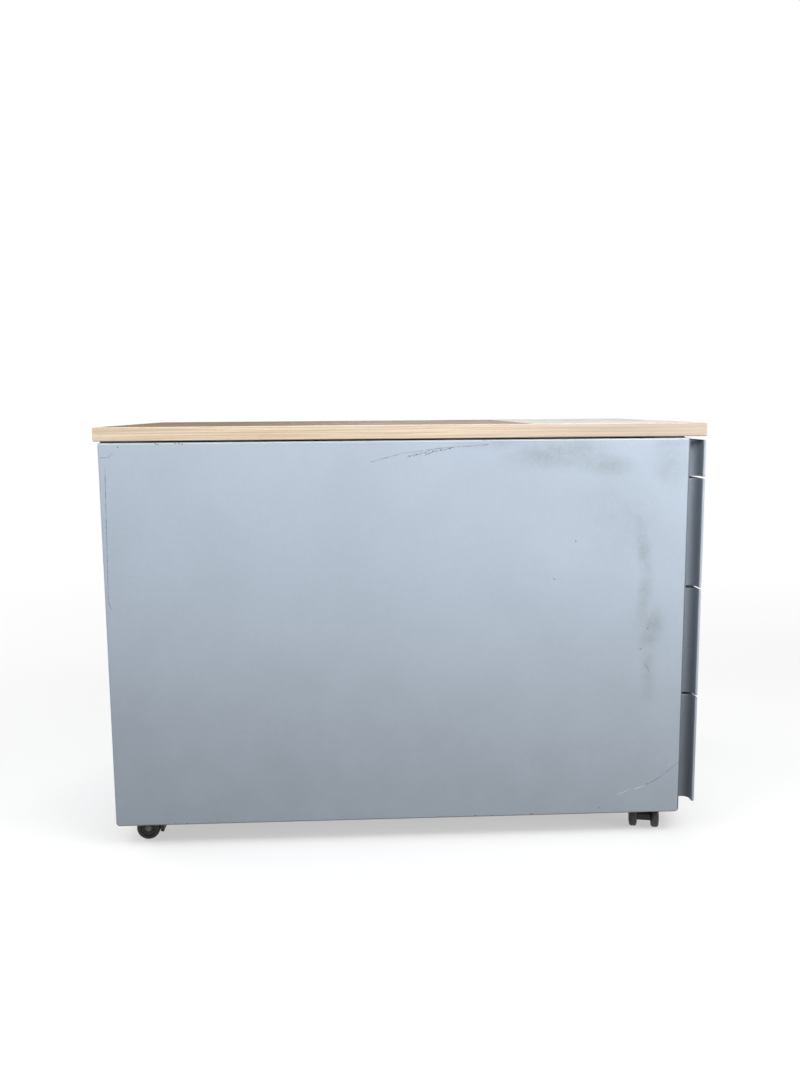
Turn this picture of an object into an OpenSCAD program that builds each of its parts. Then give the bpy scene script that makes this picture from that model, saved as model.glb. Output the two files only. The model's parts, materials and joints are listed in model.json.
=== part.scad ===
// Mobile office pedestal: a folded sheet-steel case on four twin-wheel castors, with a decor board on top,
// one shallow pencil drawer and three deep drawers on telescopic rails, and a central lock.
// Millimetres. Z is up, the floor is z = 0, the fronts face -Y, and the origin is midway under the board.

/* [Top board] */
// Width over the edge bands
top_w = 430; // [400:1:500]
// Depth over the edge bands
top_d = 800; // [600:1:900]
// Thickness of the board
board_t = 18; // [16:1:30]
// Thickness of the edge band
band_t = 2; // [1:0.1:3]
// Radius on the band's arrises and on the board's corners
band_r = 1.5; // [0.5:0.1:3]

/* [Case] */
// Thickness of the case's sheet
sheet = 1; // [0.8:0.1:1.2]
// Outside radius of the side panels' bends
bend_r = 2.5; // [1.5:0.1:4]
// Radius of the side panels' lower corners
panel_corner_r = 5; // [3:0.5:8]
// Width of the flanges around a side panel
flange_w = 21; // [20:0.5:24]
// How far a side panel stands back from the board's side edge
side_setback = 1; // [0:0.5:4]
// How far the back stands in from the board's rear edge
rear_setback = 5.3; // [0:0.1:12]
// Shadow gap between the side panels and the board
shadow_gap = 2; // [1:0.5:5]
// How far the side panels reach below the base pan's underside
skirt_h = 13.7; // [6:0.1:20]
// Thickness of the base pan's sheet
pan_t = 1.2; // [0.8:0.1:2]
// Thickness of the top rails' web and of the uprights
rail_sheet = 1.5; // [1:0.1:2]
// Depth of a top rail, front to back
top_rail_d = 40; // [30:1:60]
// Drop of a top rail's web
top_rail_drop = 11; // [6:0.5:12]
// Width of an upright, front to back
upright_w = 30; // [20:1:40]

/* [Drawers] */
// Height of one modular unit
unit_h = 50; // [48:1:60]
// Units in a deep drawer
deep_units = 3; // [3:1:5]
// Height of the seam between two fronts
seam = 3; // [2:0.1:5]
// Height of the first front above the side panels' lower edge
front_lift = 15.1; // [13.4:0.1:24]
// Thickness of a front
front_t = 20; // [18:0.5:26]
// Gap between a front and the case
front_gap = 1.4; // [1:0.1:3]
// Depth of the finger cove, measured sideways
cove_w = 17; // [14:0.5:17]
// Radius inside the finger cove
cove_r = 7.5; // [4:0.5:10]
// Thickness of the lip that the fingers pull
lip_t = 4; // [3:0.1:5]
// Radius on the lip's edges
lip_r = 1.5; // [0.5:0.1:2]
// Thickness of the drawer boxes' sheet
box_sheet = 1; // [0.8:0.1:1.5]
// Height of a deep drawer's box
deep_box_h = 118; // [100:1:130]
// Height of the pencil drawer's box
pencil_box_h = 33; // [28:0.5:34]
// Space behind the drawer boxes
rear_space = 57; // [40:1:80]
// Height of the folded hem round a box's top edge
hem_h = 6; // [4:0.5:10]
// Thickness of the folded hem
hem_t = 2.4; // [2:0.1:4]

/* [Rails] */
// Width of a telescopic rail set
rail_w = 12.7; // [12:0.1:13.5]
// Height of a deep drawer's rail set
deep_rail_h = 40; // [30:1:46]
// Height of the pencil drawer's rail set
pencil_rail_h = 22; // [18:0.5:22]
// Thickness of the rails' sheet
rail_t = 1.4; // [1:0.1:1.5]
// Distance from the case's front to the rails
rail_setback = 28.6; // [28:0.5:40]

/* [Pencil tray] */
// Depth of the tray, front to back
tray_d = 186; // [150:1:250]
// Height of the tray
tray_h = 20; // [12:1:24]
// Wall of the tray
tray_wall = 2; // [1.5:0.1:3]
// Depth of one pen trough
trough_d = 32; // [25:1:40]

/* [Lock] */
// Diameter of the lock's housing
lock_d = 16; // [14:0.1:16]
// Diameter of the barrel
barrel_d = 11; // [9:0.5:11]
// Distance from the front's top edge down to the lock
lock_drop = 15; // [12:0.5:15]
// Distance of the cam's pin from the barrel's axis
throw_r = 5; // [4:0.1:5]
// Diameter of the cam's pin
cam_pin_d = 3; // [2:0.1:3]
// Length of the cam's tongue from the barrel's axis
tongue_l = 13; // [11:0.5:15]
// Thickness of the cam and of the lock bar
lock_t = 2; // [1.5:0.1:2.2]
// Width of the lock bar
bar_w = 16; // [12:0.5:17]
// Height of a hook on the lock bar
hook_h = 8; // [6:0.5:10]

/* [Castors] */
// Diameter of a wheel
wheel_d = 32; // [30:1:50]
// Width of one wheel
wheel_w = 10; // [9:0.5:14]
// Space between a castor's two wheels
wheel_gap = 20; // [18:0.5:26]
// Radius on a wheel's tread edges
tread_r = 3; // [1:0.1:4]
// Distance from the swivel axis back to the axle
trail = 18; // [14:0.5:22]
// Diameter of the axle
axle_d = 6; // [5:0.5:8]
// Diameter of the barrel that carries the axle
axle_barrel_d = 15; // [12:0.5:18]
// Height of the swivel hub
hub_h = 9; // [5:0.5:12]
// Diameter of the swivel hub
hub_d = 30; // [24:1:32]
// Diameter of the swivel pin
pin_d = 8; // [6:0.5:10]
// Side of the castor's mounting plate
plate_w = 42; // [40:1:50]
// Thickness of the mounting plate
plate_t = 3; // [2:0.5:4]
// Distance from the case's side to a swivel axis
castor_in_x = 47.5; // [40:0.5:70]
// Distance from the case's front to the front swivel axes
castor_in_front = 36.2; // [34:0.1:80]
// Distance from the case's rear to the rear swivel axes
castor_in_rear = 54.4; // [34:0.1:80]

/* [Hidden] */
$fn = 64;

// Clearances
run_gap = 0.3;      // between pieces that slide or turn past each other
nest_gap = 0.35;    // between the nested members of a rail set
bore_gap = 0.05;    // radial, round a shaft or pin that turns
hole_gap = 0.1;     // radial, round a screw
past = 1;           // how far a cut runs past the face it opens

// Drawers from the bottom up: 0 lower, 1 middle, 2 upper, 3 pencil
lower = 0;
middle = 1;
upper = 2;
pencil = 3;

// Castors: side, end and the direction in which each one trails, in degrees from +X
front_left = [-1, -1, 168];
front_right = [1, -1, 205];
rear_left = [-1, 1, 90];
rear_right = [1, 1, 118];
CASTORS = [front_left, front_right, rear_left, rear_right];

// Heights, from the floor up
head_h = 1.2;
pin_head_z = wheel_d + run_gap;
hub_z = pin_head_z + head_h + run_gap;
plate_z = hub_z + hub_h + run_gap;
pan_z = plate_z + plate_t;
panel_low = pan_z - skirt_h;
grid_low = panel_low + front_lift;
grid_high = grid_low + (3 * deep_units + 1) * unit_h;
front_reveal = 3.1;
panel_high = grid_high + front_reveal;
board_z = panel_high + shadow_gap;

// Planes across and along the case
side_x = top_w / 2 - side_setback;
skin_x = side_x - sheet;
inner_x = side_x - bend_r;
open_x = side_x - flange_w;
face_y = -top_d / 2;
front_back_y = face_y + front_t;
case_front_y = front_back_y + front_gap;
case_rear_y = top_d / 2 - rear_setback;
wall_x = side_x - cove_w;
lip_y = face_y + lip_t;

// Rail sets: the mounting face on the uprights, and the drawer box's side
lock_room = 16;
box_x = open_x - lock_room;
mount_x = box_x + rail_w;
rail_front_y = case_front_y + rail_setback;
box_rear_y = case_rear_y - rear_space;
rear_upright_in = 20;
upright_ys = [rail_front_y, box_rear_y - rear_upright_in - upright_w];

// Places within a unit, measured up from the front's lower edge or the box's underside
box_up = 8;
pencil_box_up = 3;
corner_slit = 0.2;
rail_up = 6;
pencil_rail_up = 1;
catch_up = 84;
guide_up = 64;
screw_in_z = 15;

// Lock
lock_x = (box_x + open_x) / 2;
lock_z = grid_high - lock_drop;
cam_y = case_front_y + sheet + run_gap;
lug_y = cam_y + lock_t + 2 * run_gap;
bar_x = open_x + past;
bar_lift = 2 * throw_r * sin(45);
bar_above_lock = 4;
bar_high = lock_z + bar_above_lock;
bar_low = grid_low + box_up;
lug_z = lock_z - bar_lift / 2;
lug_wall = 1.5;
lock_face_y = face_y + run_gap;
lock_back_y = front_back_y + 0.8 * sheet;
tail_r = 3.5;
key_slot = [1.4, 8, 7];
cam_rim = 0.5;
cam_r = throw_r + cam_pin_d / 2 + cam_rim;
tongue_w = 6;
catch_y = lug_y + lock_t + 2 * run_gap;
catch_w = 10;
hook_short = 6;
hook_reach = bar_x - box_x - hook_short;
guide_wall = 1.9;
guide_h = 14;

// Top rails
top_rail_in = 6;
top_rail_x = side_x - top_rail_in;
front_top_rail_y = catch_y;
rear_top_rail_y = case_rear_y - 2 * sheet - run_gap - top_rail_d;

// Screws
screw_r = 2;
screw_head_r = 3.6;
screw_head_h = 2.2;
front_screw_in = 11;
front_screw_l = 6;
front_screw_x = box_x - front_screw_in;
window_x = front_screw_x - front_screw_in;
window_in = 12;
board_screw_l = 12;
board_screw_in = 48;
board_screw_xs = [-1, 0, 1] * (top_rail_x - board_screw_in);
board_screw_ys = [front_top_rail_y, rear_top_rail_y] + [1, 1] * top_rail_d / 2;

// Castor details
plate_corner_r = 4;
castor_screw_in = 6;
head_rim = 1.5;
pin_head_r = pin_d / 2 + head_rim;
arm_w = 16;
axle_seat_d = 1.5;
axle_head_r = axle_d / 2 + head_rim;
dish_in = 1.5;
dish_d = 1.6;
tyre_t = 5;
hood_gap = 1.2;
hood_t = 4.8;
hood_angles = [98, 130, 162, 194];

function units(i) = i == pencil ? 1 : deep_units;
function grid_z(i) = grid_low + i * deep_units * unit_h;
function front_z(i) = grid_z(i) + (i == lower ? 0 : seam / 2);
function front_top(i) = grid_z(i) + units(i) * unit_h - (i == pencil ? 0 : seam / 2);
function front_h(i) = front_top(i) - front_z(i);
function box_z(i) = front_z(i) + (i == pencil ? pencil_box_up : box_up);
function box_h(i) = i == pencil ? pencil_box_h : deep_box_h;
function rail_h(i) = i == pencil ? pencil_rail_h : deep_rail_h;
function rail_z(i) = box_z(i) + (i == pencil ? pencil_rail_up : rail_up) + rail_h(i) / 2;
function catch_z(i) = box_z(i) + catch_up;
function guide_z(i) = box_z(i) + guide_up;
function screw_zs(i) = i == pencil
    ? [box_z(i) + box_h(i) / 2]
    : [box_z(i) + screw_in_z, box_z(i) + box_h(i) - screw_in_z];

// A block given by its low and high corners
module block(low, high) {
    translate(low)
        cube(high - low);
}

// The same shape on both sides of the case
module both_sides() {
    children();
    mirror([1, 0, 0])
        children();
}

// A rectangle with its four corners rounded
module round_rect(low, high, r) {
    translate([low.x + r, low.y])
        square([high.x - low.x - 2 * r, high.y - low.y]);
    translate([low.x, low.y + r])
        square([high.x - low.x, high.y - low.y - 2 * r]);
    for (x = [low.x + r, high.x - r], y = [low.y + r, high.y - r])
        translate([x, y])
            circle(r);
}

// An extrusion along Y of a shape drawn in X and Z, from y0 to y1
module along_y(y0, y1) {
    translate([0, y1, 0])
        rotate([90, 0, 0])
            linear_extrude(y1 - y0)
                children();
}

// An extrusion along X of a shape drawn in Y and Z, from x0 to x1
module along_x(x0, x1) {
    translate([x0, 0, 0])
        rotate([90, 0, 90])
            linear_extrude(x1 - x0)
                children();
}

// A round bar along Y, from y0 to y1
module rod_y(x, z, r, y0, y1) {
    translate([x, y1, z])
        rotate([90, 0, 0])
            cylinder(h = y1 - y0, r = r);
}

// ---- Case ----

// The right side panel's outer form, or its inside where inset is the sheet
module panel_form(inset, inner_x) {
    r = bend_r - inset;
    corner = panel_corner_r - inset;
    low = [inner_x, case_front_y + inset, panel_low + inset];
    high = [side_x - inset, case_rear_y - inset, panel_high - inset];
    intersection() {
        translate([0, 0, low.z])
            linear_extrude(high.z - low.z)
                round_rect([low.x - r, low.y], [high.x, high.y], r);
        along_y(low.y, high.y)
            round_rect([low.x - r, low.z], [high.x, high.z], r);
        along_x(low.x, high.x) {
            round_rect([low.y, low.z], [high.y, high.z - corner], corner);
            round_rect([low.y, low.z + 2 * corner], [high.y, high.z], r);
        }
    }
}

// A folded tray: one skin with a flange turned inward on all four edges
module side_panel() {
    difference() {
        panel_form(0, open_x);
        panel_form(sheet, open_x - past);
    }
}

module side_panel_right() {
    color("#b9c3cb")
        side_panel();
}

module side_panel_left() {
    color("#b9c3cb")
        mirror([1, 0, 0])
            side_panel();
}

// Closes the case behind, inside the side panels' rear flanges
module back_panel() {
    color("#aeb8c0")
        block([-inner_x, case_rear_y - 2 * sheet, panel_low + panel_corner_r],
            [inner_x, case_rear_y - sheet, panel_high - bend_r]);
}

// The four screw places of one castor, about its swivel axis
module castor_screw_places() {
    pitch = plate_w / 2 - castor_screw_in;
    for (x = [-pitch, pitch], y = [-pitch, pitch])
        translate([x, y, 0])
            children();
}

// Puts a castor's children at its swivel axis
module at_castor(castor) {
    x = castor[0] * (side_x - castor_in_x);
    y = castor[1] < 0 ? case_front_y + castor_in_front : case_rear_y - castor_in_rear;
    translate([x, y, 0])
        children();
}

// A downturned tray that carries the castors and stiffens the case
module base_pan() {
    color("#9aa3aa")
        difference() {
            block([-inner_x, case_front_y + sheet, panel_low + panel_corner_r],
                [inner_x, case_rear_y - 2 * sheet, pan_z + pan_t]);
            block([-inner_x + pan_t, case_front_y + sheet + pan_t, panel_low],
                [inner_x - pan_t, case_rear_y - 2 * sheet - pan_t, pan_z]);
            for (castor = CASTORS)
                at_castor(castor)
                    castor_screw_places()
                        translate([0, 0, pan_z - past])
                            cylinder(h = pan_t + 2 * past, r = screw_r + hole_gap);
        }
}

// A flat rail across the case that carries the board, with a web turned down at web_y
module top_rail(y0, web_y) {
    color("#9aa3aa")
        difference() {
            union() {
                block([-top_rail_x, y0, panel_high], [top_rail_x, y0 + top_rail_d, board_z]);
                block([-open_x + past, web_y, panel_high - top_rail_drop],
                    [open_x - past, web_y + rail_sheet, panel_high]);
            }
            for (x = board_screw_xs)
                translate([x, y0 + top_rail_d / 2, panel_high - past])
                    cylinder(h = shadow_gap + 2 * past, r = screw_r + hole_gap);
        }
}

module top_rail_front() {
    top_rail(front_top_rail_y, front_top_rail_y);
}

module top_rail_rear() {
    top_rail(rear_top_rail_y, rear_top_rail_y + top_rail_d - rail_sheet);
}

// Two channels that stand on the pan, open towards the side panel's skin
module uprights() {
    for (y = upright_ys)
        difference() {
            block([mount_x, y, pan_z + pan_t], [skin_x, y + upright_w, panel_high - bend_r]);
            block([mount_x + rail_sheet, y + rail_sheet, pan_z],
                [skin_x + past, y + upright_w - rail_sheet, panel_high]);
        }
}

module uprights_right() {
    color("#8f989f")
        uprights();
}

module uprights_left() {
    color("#8f989f")
        mirror([1, 0, 0])
            uprights();
}

// ---- Board ----

module top_board() {
    color("#e3d3ba")
        difference() {
            block([-top_w / 2 + band_t, -top_d / 2 + band_t, board_z],
                [top_w / 2 - band_t, top_d / 2 - band_t, board_z + board_t]);
            for (x = board_screw_xs, y = board_screw_ys)
                translate([x, y, board_z - past])
                    cylinder(h = board_screw_l + past + hole_gap, r = screw_r + hole_gap);
        }
}

// The rounded form that all four strips are cut from
module band_form() {
    r = min(band_r, band_t);
    intersection() {
        translate([0, 0, board_z])
            linear_extrude(board_t)
                round_rect([-top_w / 2, -top_d / 2], [top_w / 2, top_d / 2], r);
        along_y(-top_d / 2, top_d / 2)
            round_rect([-top_w / 2, board_z], [top_w / 2, board_z + board_t], r);
        along_x(-top_w / 2, top_w / 2)
            round_rect([-top_d / 2, board_z], [top_d / 2, board_z + board_t], r);
    }
}

// Four strips: the front and rear ones run the full width, the side ones stand between them
module edge_bands() {
    x = top_w / 2;
    y = top_d / 2;
    high = board_z + board_t;
    strips = [[[-x, -y, board_z], [x, -y + band_t, high]],
        [[-x, y - band_t, board_z], [x, y, high]],
        [[-x, -y + band_t, board_z], [-x + band_t, y - band_t, high]],
        [[x - band_t, -y + band_t, board_z], [x, y - band_t, high]]];
    color("#dccbb0")
        for (strip = strips)
            intersection() {
                band_form();
                block(strip[0], strip[1]);
            }
}

// A screw that points up, with its head's seat at z = 0
module screw_up(length) {
    cylinder(h = length, r = screw_r);
    translate([0, 0, -screw_head_h])
        cylinder(h = screw_head_h, r = screw_head_r);
}

module top_screws() {
    color("#b5b9bd")
        for (x = board_screw_xs, y = board_screw_ys)
            translate([x, y, panel_high])
                screw_up(shadow_gap + board_screw_l);
}

// ---- Telescopic rails ----

// A channel along Y, for both sides: its web spans x_web to x_back and its flanges reach x_tip
module channel(i, half_h, x_web, x_back, x_tip) {
    low_x = min(x_back, x_tip);
    high_x = max(x_back, x_tip);
    inner_low = x_tip < x_web ? x_tip - past : x_web;
    inner_high = x_tip < x_web ? x_web : x_tip + past;
    both_sides()
        difference() {
            block([low_x, rail_front_y, rail_z(i) - half_h], [high_x, box_rear_y, rail_z(i) + half_h]);
            block([inner_low, rail_front_y - past, rail_z(i) - half_h + rail_t],
                [inner_high, box_rear_y + past, rail_z(i) + half_h - rail_t]);
        }
}

// The outer members, fixed to the uprights
module case_rails(i) {
    color("#c4c8cb")
        channel(i, rail_h(i) / 2, mount_x - rail_t, mount_x, box_x + rail_t + nest_gap);
}

// The middle members, which run half as far as the drawer
module mid_rails(i) {
    back = mount_x - rail_t - nest_gap;
    color("#d3d6d8")
        channel(i, rail_h(i) / 2 - rail_t - nest_gap, back - rail_t, back, box_x + rail_t + nest_gap);
}

// The inner members, fixed to the drawer box
module box_rails(i) {
    tip = mount_x - 2 * rail_t - 2 * nest_gap;
    color("#bfc3c6")
        channel(i, rail_h(i) / 2 - 2 * rail_t - 2 * nest_gap, box_x + rail_t, box_x, tip);
}

module pencil_case_rails() { case_rails(pencil); }
module upper_case_rails() { case_rails(upper); }
module middle_case_rails() { case_rails(middle); }
module lower_case_rails() { case_rails(lower); }
module pencil_mid_rails() { mid_rails(pencil); }
module upper_mid_rails() { mid_rails(upper); }
module middle_mid_rails() { mid_rails(middle); }
module lower_mid_rails() { mid_rails(lower); }
module pencil_box_rails() { box_rails(pencil); }
module upper_box_rails() { box_rails(upper); }
module middle_box_rails() { box_rails(middle); }
module lower_box_rails() { box_rails(lower); }

// ---- Drawers ----

// The screws that hold a front to its box, at each place pointing forward
module front_screw_places(i) {
    for (x = [-front_screw_x, front_screw_x], z = screw_zs(i))
        translate([x, front_back_y + box_sheet, z])
            rotate([90, 0, 0])
                children();
}

// The clearance holes in a box for those screws
module front_screw_holes(i) {
    front_screw_places(i)
        translate([0, 0, -past])
            cylinder(h = 2 * past + box_sheet, r = screw_r + hole_gap);
}

// A folded box, open at the top, with a hem round its top edge and a catch for the lock bar
module drawer_box(i) {
    low = [-box_x, front_back_y, box_z(i)];
    high = [box_x, box_rear_y, box_z(i) + box_h(i)];
    wall = [box_sheet, box_sheet, 0];
    hem = [hem_t, hem_t, 0];
    color("#8d969d") {
        difference() {
            block(low, high);
            block(low + wall + [0, 0, box_sheet], high - wall - [0, 0, hem_h]);
            block(low + hem + [0, 0, box_sheet], high - hem + [0, 0, past]);
            front_screw_holes(i);
        }
        block([box_x, catch_y, catch_z(i)],
            [box_x + catch_w, catch_y + lock_t, catch_z(i) + hook_h]);
    }
}

// The pencil drawer's box is a floor sheet with four hemmed wall strips on it, slit at the corners
module pencil_box() {
    low = [-box_x, front_back_y, box_z(pencil)];
    color("#8d969d")
        block(low, [box_x, box_rear_y, low.z + box_sheet]);
}

module pencil_box_walls() {
    low_z = box_z(pencil) + box_sheet;
    high_z = box_z(pencil) + box_h(pencil);
    end_x = box_x - hem_t - corner_slit;
    color("#8d969d") {
        both_sides() {
            block([-box_x, front_back_y, low_z], [-box_x + box_sheet, box_rear_y, high_z]);
            block([-box_x, front_back_y, high_z - hem_h], [-box_x + hem_t, box_rear_y, high_z]);
        }
        difference() {
            union() {
                for (y = [front_back_y, box_rear_y - box_sheet])
                    block([-end_x, y, low_z], [end_x, y + box_sheet, high_z]);
                for (y = [front_back_y, box_rear_y - hem_t])
                    block([-end_x, y, high_z - hem_h], [end_x, y + hem_t, high_z]);
            }
            front_screw_holes(pencil);
        }
    }
}

module upper_box() { drawer_box(upper); }
module middle_box() { drawer_box(middle); }
module lower_box() { drawer_box(lower); }

// Plan of a front: a box between the coves, whose face runs out on both sides as a lip
module front_plan() {
    round_rect([-side_x, face_y], [side_x, lip_y], lip_r);
    translate([-wall_x, face_y + lip_r])
        square([2 * wall_x, front_t - lip_r]);
    both_sides()
        difference() {
            translate([wall_x - past, lip_y - past])
                square(cove_r + past);
            translate([wall_x + cove_r, lip_y + cove_r])
                circle(cove_r);
        }
}

// A folded steel front, hollow, with a window in its rear wall
module drawer_front(i) {
    low = [-wall_x, face_y, front_z(i)];
    high = [wall_x, front_back_y, front_top(i)];
    wall = [sheet, sheet, sheet];
    color("#c1cad1")
        difference() {
            translate([0, 0, front_z(i)])
                linear_extrude(front_h(i))
                    front_plan();
            block(low + wall, high - wall);
            block([-window_x, front_back_y - sheet - past, low.z + window_in],
                [window_x, front_back_y + past, high.z - window_in]);
            front_screw_places(i)
                cylinder(h = box_sheet + sheet + past, r = screw_r + hole_gap);
            if (i == pencil)
                rod_y(lock_x, lock_z, lock_d / 2 + bore_gap, face_y - past, front_back_y + past);
        }
}

module pencil_front() { drawer_front(pencil); }
module upper_front() { drawer_front(upper); }
module middle_front() { drawer_front(middle); }
module lower_front() { drawer_front(lower); }

module front_screws(i) {
    color("#b5b9bd")
        front_screw_places(i)
            screw_up(box_sheet + sheet + front_screw_l);
}

module pencil_front_screws() { front_screws(pencil); }
module upper_front_screws() { front_screws(upper); }
module middle_front_screws() { front_screws(middle); }
module lower_front_screws() { front_screws(lower); }

// A moulded insert: two pen troughs across the front and three pockets behind them
module pencil_tray() {
    x = box_x - hem_t - run_gap;
    y = front_back_y + box_sheet + screw_head_h + run_gap;
    z = box_z(pencil) + box_sheet;
    pocket_y = y + 3 * tray_wall + 2 * trough_d;
    pocket_w = (2 * x - 4 * tray_wall) / 3;
    color("#3a3c3f")
        difference() {
            block([-x, y, z], [x, y + tray_d, z + tray_h]);
            for (row = [0, 1])
                block([-x + tray_wall, y + tray_wall + row * (trough_d + tray_wall), z + tray_wall],
                    [x - tray_wall, y + (row + 1) * (trough_d + tray_wall), z + tray_h + past]);
            for (col = [0, 1, 2])
                block([-x + tray_wall + col * (pocket_w + tray_wall), pocket_y, z + tray_wall],
                    [-x + (col + 1) * (pocket_w + tray_wall), y + tray_d - tray_wall, z + tray_h + past]);
        }
}

// ---- Lock ----

module lock_housing() {
    color("#c8cbce")
        difference() {
            rod_y(lock_x, lock_z, lock_d / 2, lock_face_y, lock_back_y);
            rod_y(lock_x, lock_z, barrel_d / 2 + bore_gap, lock_face_y - past, lock_back_y + past);
        }
}

// Turns in the housing; its tail carries the cam
module lock_barrel() {
    color("#d9dbdd")
        difference() {
            union() {
                rod_y(lock_x, lock_z, barrel_d / 2, lock_face_y + run_gap, lock_back_y);
                rod_y(lock_x, lock_z, tail_r, lock_back_y - past, cam_y + lock_t);
            }
            block([lock_x - key_slot.x / 2, lock_face_y, lock_z - key_slot.z / 2],
                [lock_x + key_slot.x / 2, lock_face_y + key_slot.y, lock_z + key_slot.z / 2]);
        }
}

// Unlocked: the tongue hangs down, and the pin stands in the lock bar's slot
module lock_cam() {
    color("#a9adb1") {
        difference() {
            union() {
                rod_y(lock_x, lock_z, cam_r, cam_y, cam_y + lock_t);
                block([lock_x - tongue_w / 2, cam_y, lock_z - tongue_l],
                    [lock_x + tongue_w / 2, cam_y + lock_t, lock_z]);
            }
            rod_y(lock_x, lock_z, tail_r + hole_gap, cam_y - past, cam_y + lock_t + past);
        }
        rod_y(lock_x + bar_lift / 2, lug_z, cam_pin_d / 2, cam_y + lock_t - past, lug_y + lock_t);
    }
}

// A strip behind the front flange, with a slotted lug for the cam and a hook for each deep drawer
module lock_bar() {
    slot_r = cam_pin_d / 2 + run_gap;
    slot_low = lock_x + bar_lift / 2 - slot_r;
    slot_high = lock_x + throw_r + slot_r;
    color("#b0b4b8")
        difference() {
            union() {
                block([bar_x, lug_y, bar_low], [bar_x + lock_t, lug_y + bar_w, bar_high]);
                block([slot_low - lug_wall, lug_y, lug_z - slot_r - lug_wall],
                    [bar_x + lock_t, lug_y + lock_t, lug_z + slot_r + lug_wall]);
                for (i = [lower, middle, upper])
                    block([bar_x - hook_reach, lug_y, catch_z(i) - past - hook_h],
                        [bar_x + lock_t, lug_y + lock_t, catch_z(i) - past]);
            }
            block([slot_low, lug_y - past, lug_z - slot_r],
                [slot_high, lug_y + lock_t + past, lug_z + slot_r]);
        }
}

// Moulded blocks behind the right front flange that the lock bar slides in
module lock_bar_guides() {
    color("#2b2d30")
        for (i = [lower, middle, upper])
            difference() {
                block([bar_x - run_gap - guide_wall, case_front_y + sheet, guide_z(i) - guide_h / 2],
                    [inner_x, lug_y + bar_w + guide_wall, guide_z(i) + guide_h / 2]);
                block([bar_x - run_gap, lug_y - run_gap, guide_z(i) - guide_h],
                    [bar_x + lock_t + run_gap, lug_y + bar_w + run_gap, guide_z(i) + guide_h]);
            }
}

// ---- Castors ----

// Mounting plates under the pan, each with the pin that its castor swivels on
module castor_plates() {
    color("#a6abb0")
        for (castor = CASTORS)
            at_castor(castor) {
                difference() {
                    translate([0, 0, plate_z])
                        linear_extrude(plate_t)
                            round_rect([-1, -1] * plate_w / 2, [1, 1] * plate_w / 2, plate_corner_r);
                    castor_screw_places()
                        translate([0, 0, plate_z - past])
                            cylinder(h = plate_t + 2 * past, r = screw_r + hole_gap);
                }
                translate([0, 0, hub_z - run_gap])
                    cylinder(h = plate_z + past - hub_z + run_gap, d = pin_d);
                translate([0, 0, pin_head_z])
                    cylinder(h = head_h, r = pin_head_r);
            }
}

module castor_screws() {
    color("#b5b9bd")
        for (castor = CASTORS)
            at_castor(castor)
                castor_screw_places()
                    translate([0, 0, plate_z])
                        screw_up(plate_t + pan_t + past);
}

// Local frame of a castor: X runs from the swivel axis to the axle
module castor_frame_at(castor) {
    at_castor(castor)
        rotate([0, 0, castor[2]])
            children();
}

// A hub on the pin, an arm down to the barrel between the wheels, and a hood round them both
module castor_frame(castor) {
    half_w = wheel_gap / 2 - run_gap;
    hood_half = wheel_gap / 2 + wheel_w;
    hood_r = wheel_d / 2 + hood_gap;
    wedge = [[0, 0], for (a = hood_angles) 2 * wheel_d * [cos(a), sin(a)]];
    arm = [[pin_head_r + run_gap, hub_z + hub_h / 2], [hub_d / 2 - past, hub_z + hub_h / 2],
        [trail + axle_barrel_d / 2, wheel_d / 2], [trail - axle_barrel_d / 2, wheel_d / 2]];
    color("#1c1d1f")
        castor_frame_at(castor)
            difference() {
                union() {
                    translate([0, 0, hub_z])
                        cylinder(h = hub_h, d = hub_d);
                    along_y(-arm_w / 2, arm_w / 2)
                        polygon(arm);
                    rod_y(trail, wheel_d / 2, axle_barrel_d / 2, -half_w, half_w);
                    intersection() {
                        difference() {
                            rod_y(trail, wheel_d / 2, hood_r + hood_t, -hood_half, hood_half);
                            rod_y(trail, wheel_d / 2, hood_r, -hood_half - past, hood_half + past);
                        }
                        along_y(-hood_half - past, hood_half + past)
                            translate([trail, wheel_d / 2])
                                polygon(wedge);
                    }
                }
                translate([0, 0, hub_z - past])
                    cylinder(h = hub_h + 2 * past, r = pin_d / 2 + bore_gap);
                translate([0, 0, pin_head_z - run_gap])
                    cylinder(h = hub_z - pin_head_z + run_gap, r = pin_head_r + run_gap);
                rod_y(trail, wheel_d / 2, axle_d / 2 + bore_gap, -half_w - past, half_w + past);
            }
}

module front_left_castor() { castor_frame(front_left); }
module front_right_castor() { castor_frame(front_right); }
module rear_left_castor() { castor_frame(rear_left); }
module rear_right_castor() { castor_frame(rear_right); }

// Runs through both wheels, with a head outside each
module castor_axle(castor) {
    seat = wheel_gap / 2 + wheel_w - axle_seat_d + run_gap;
    color("#2a2b2d")
        castor_frame_at(castor) {
            rod_y(trail, wheel_d / 2, axle_d / 2, -seat - past, seat + past);
            for (side = [-1, 1])
                rod_y(trail, wheel_d / 2, axle_head_r, side * (seat + head_h / 2) - head_h / 2,
                    side * (seat + head_h / 2) + head_h / 2);
        }
}

module front_left_axle() { castor_axle(front_left); }
module front_right_axle() { castor_axle(front_right); }
module rear_left_axle() { castor_axle(rear_left); }
module rear_right_axle() { castor_axle(rear_right); }

// Section of a wheel: x is the distance from its axle, y runs outward across it
module wheel_section() {
    difference() {
        union() {
            translate([axle_d / 2 + bore_gap, -wheel_w / 2])
                square([wheel_d / 2 - tread_r - axle_d / 2 - bore_gap, wheel_w]);
            round_rect([wheel_d / 2 - 2 * tread_r - past, -wheel_w / 2], [wheel_d / 2, wheel_w / 2], tread_r);
        }
        translate([0, wheel_w / 2 - axle_seat_d])
            square([axle_head_r + run_gap, axle_seat_d + past]);
        translate([axle_head_r + dish_in, wheel_w / 2 - dish_d])
            square([wheel_d / 2 - tyre_t - axle_head_r - dish_in, dish_d + past]);
    }
}

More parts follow.
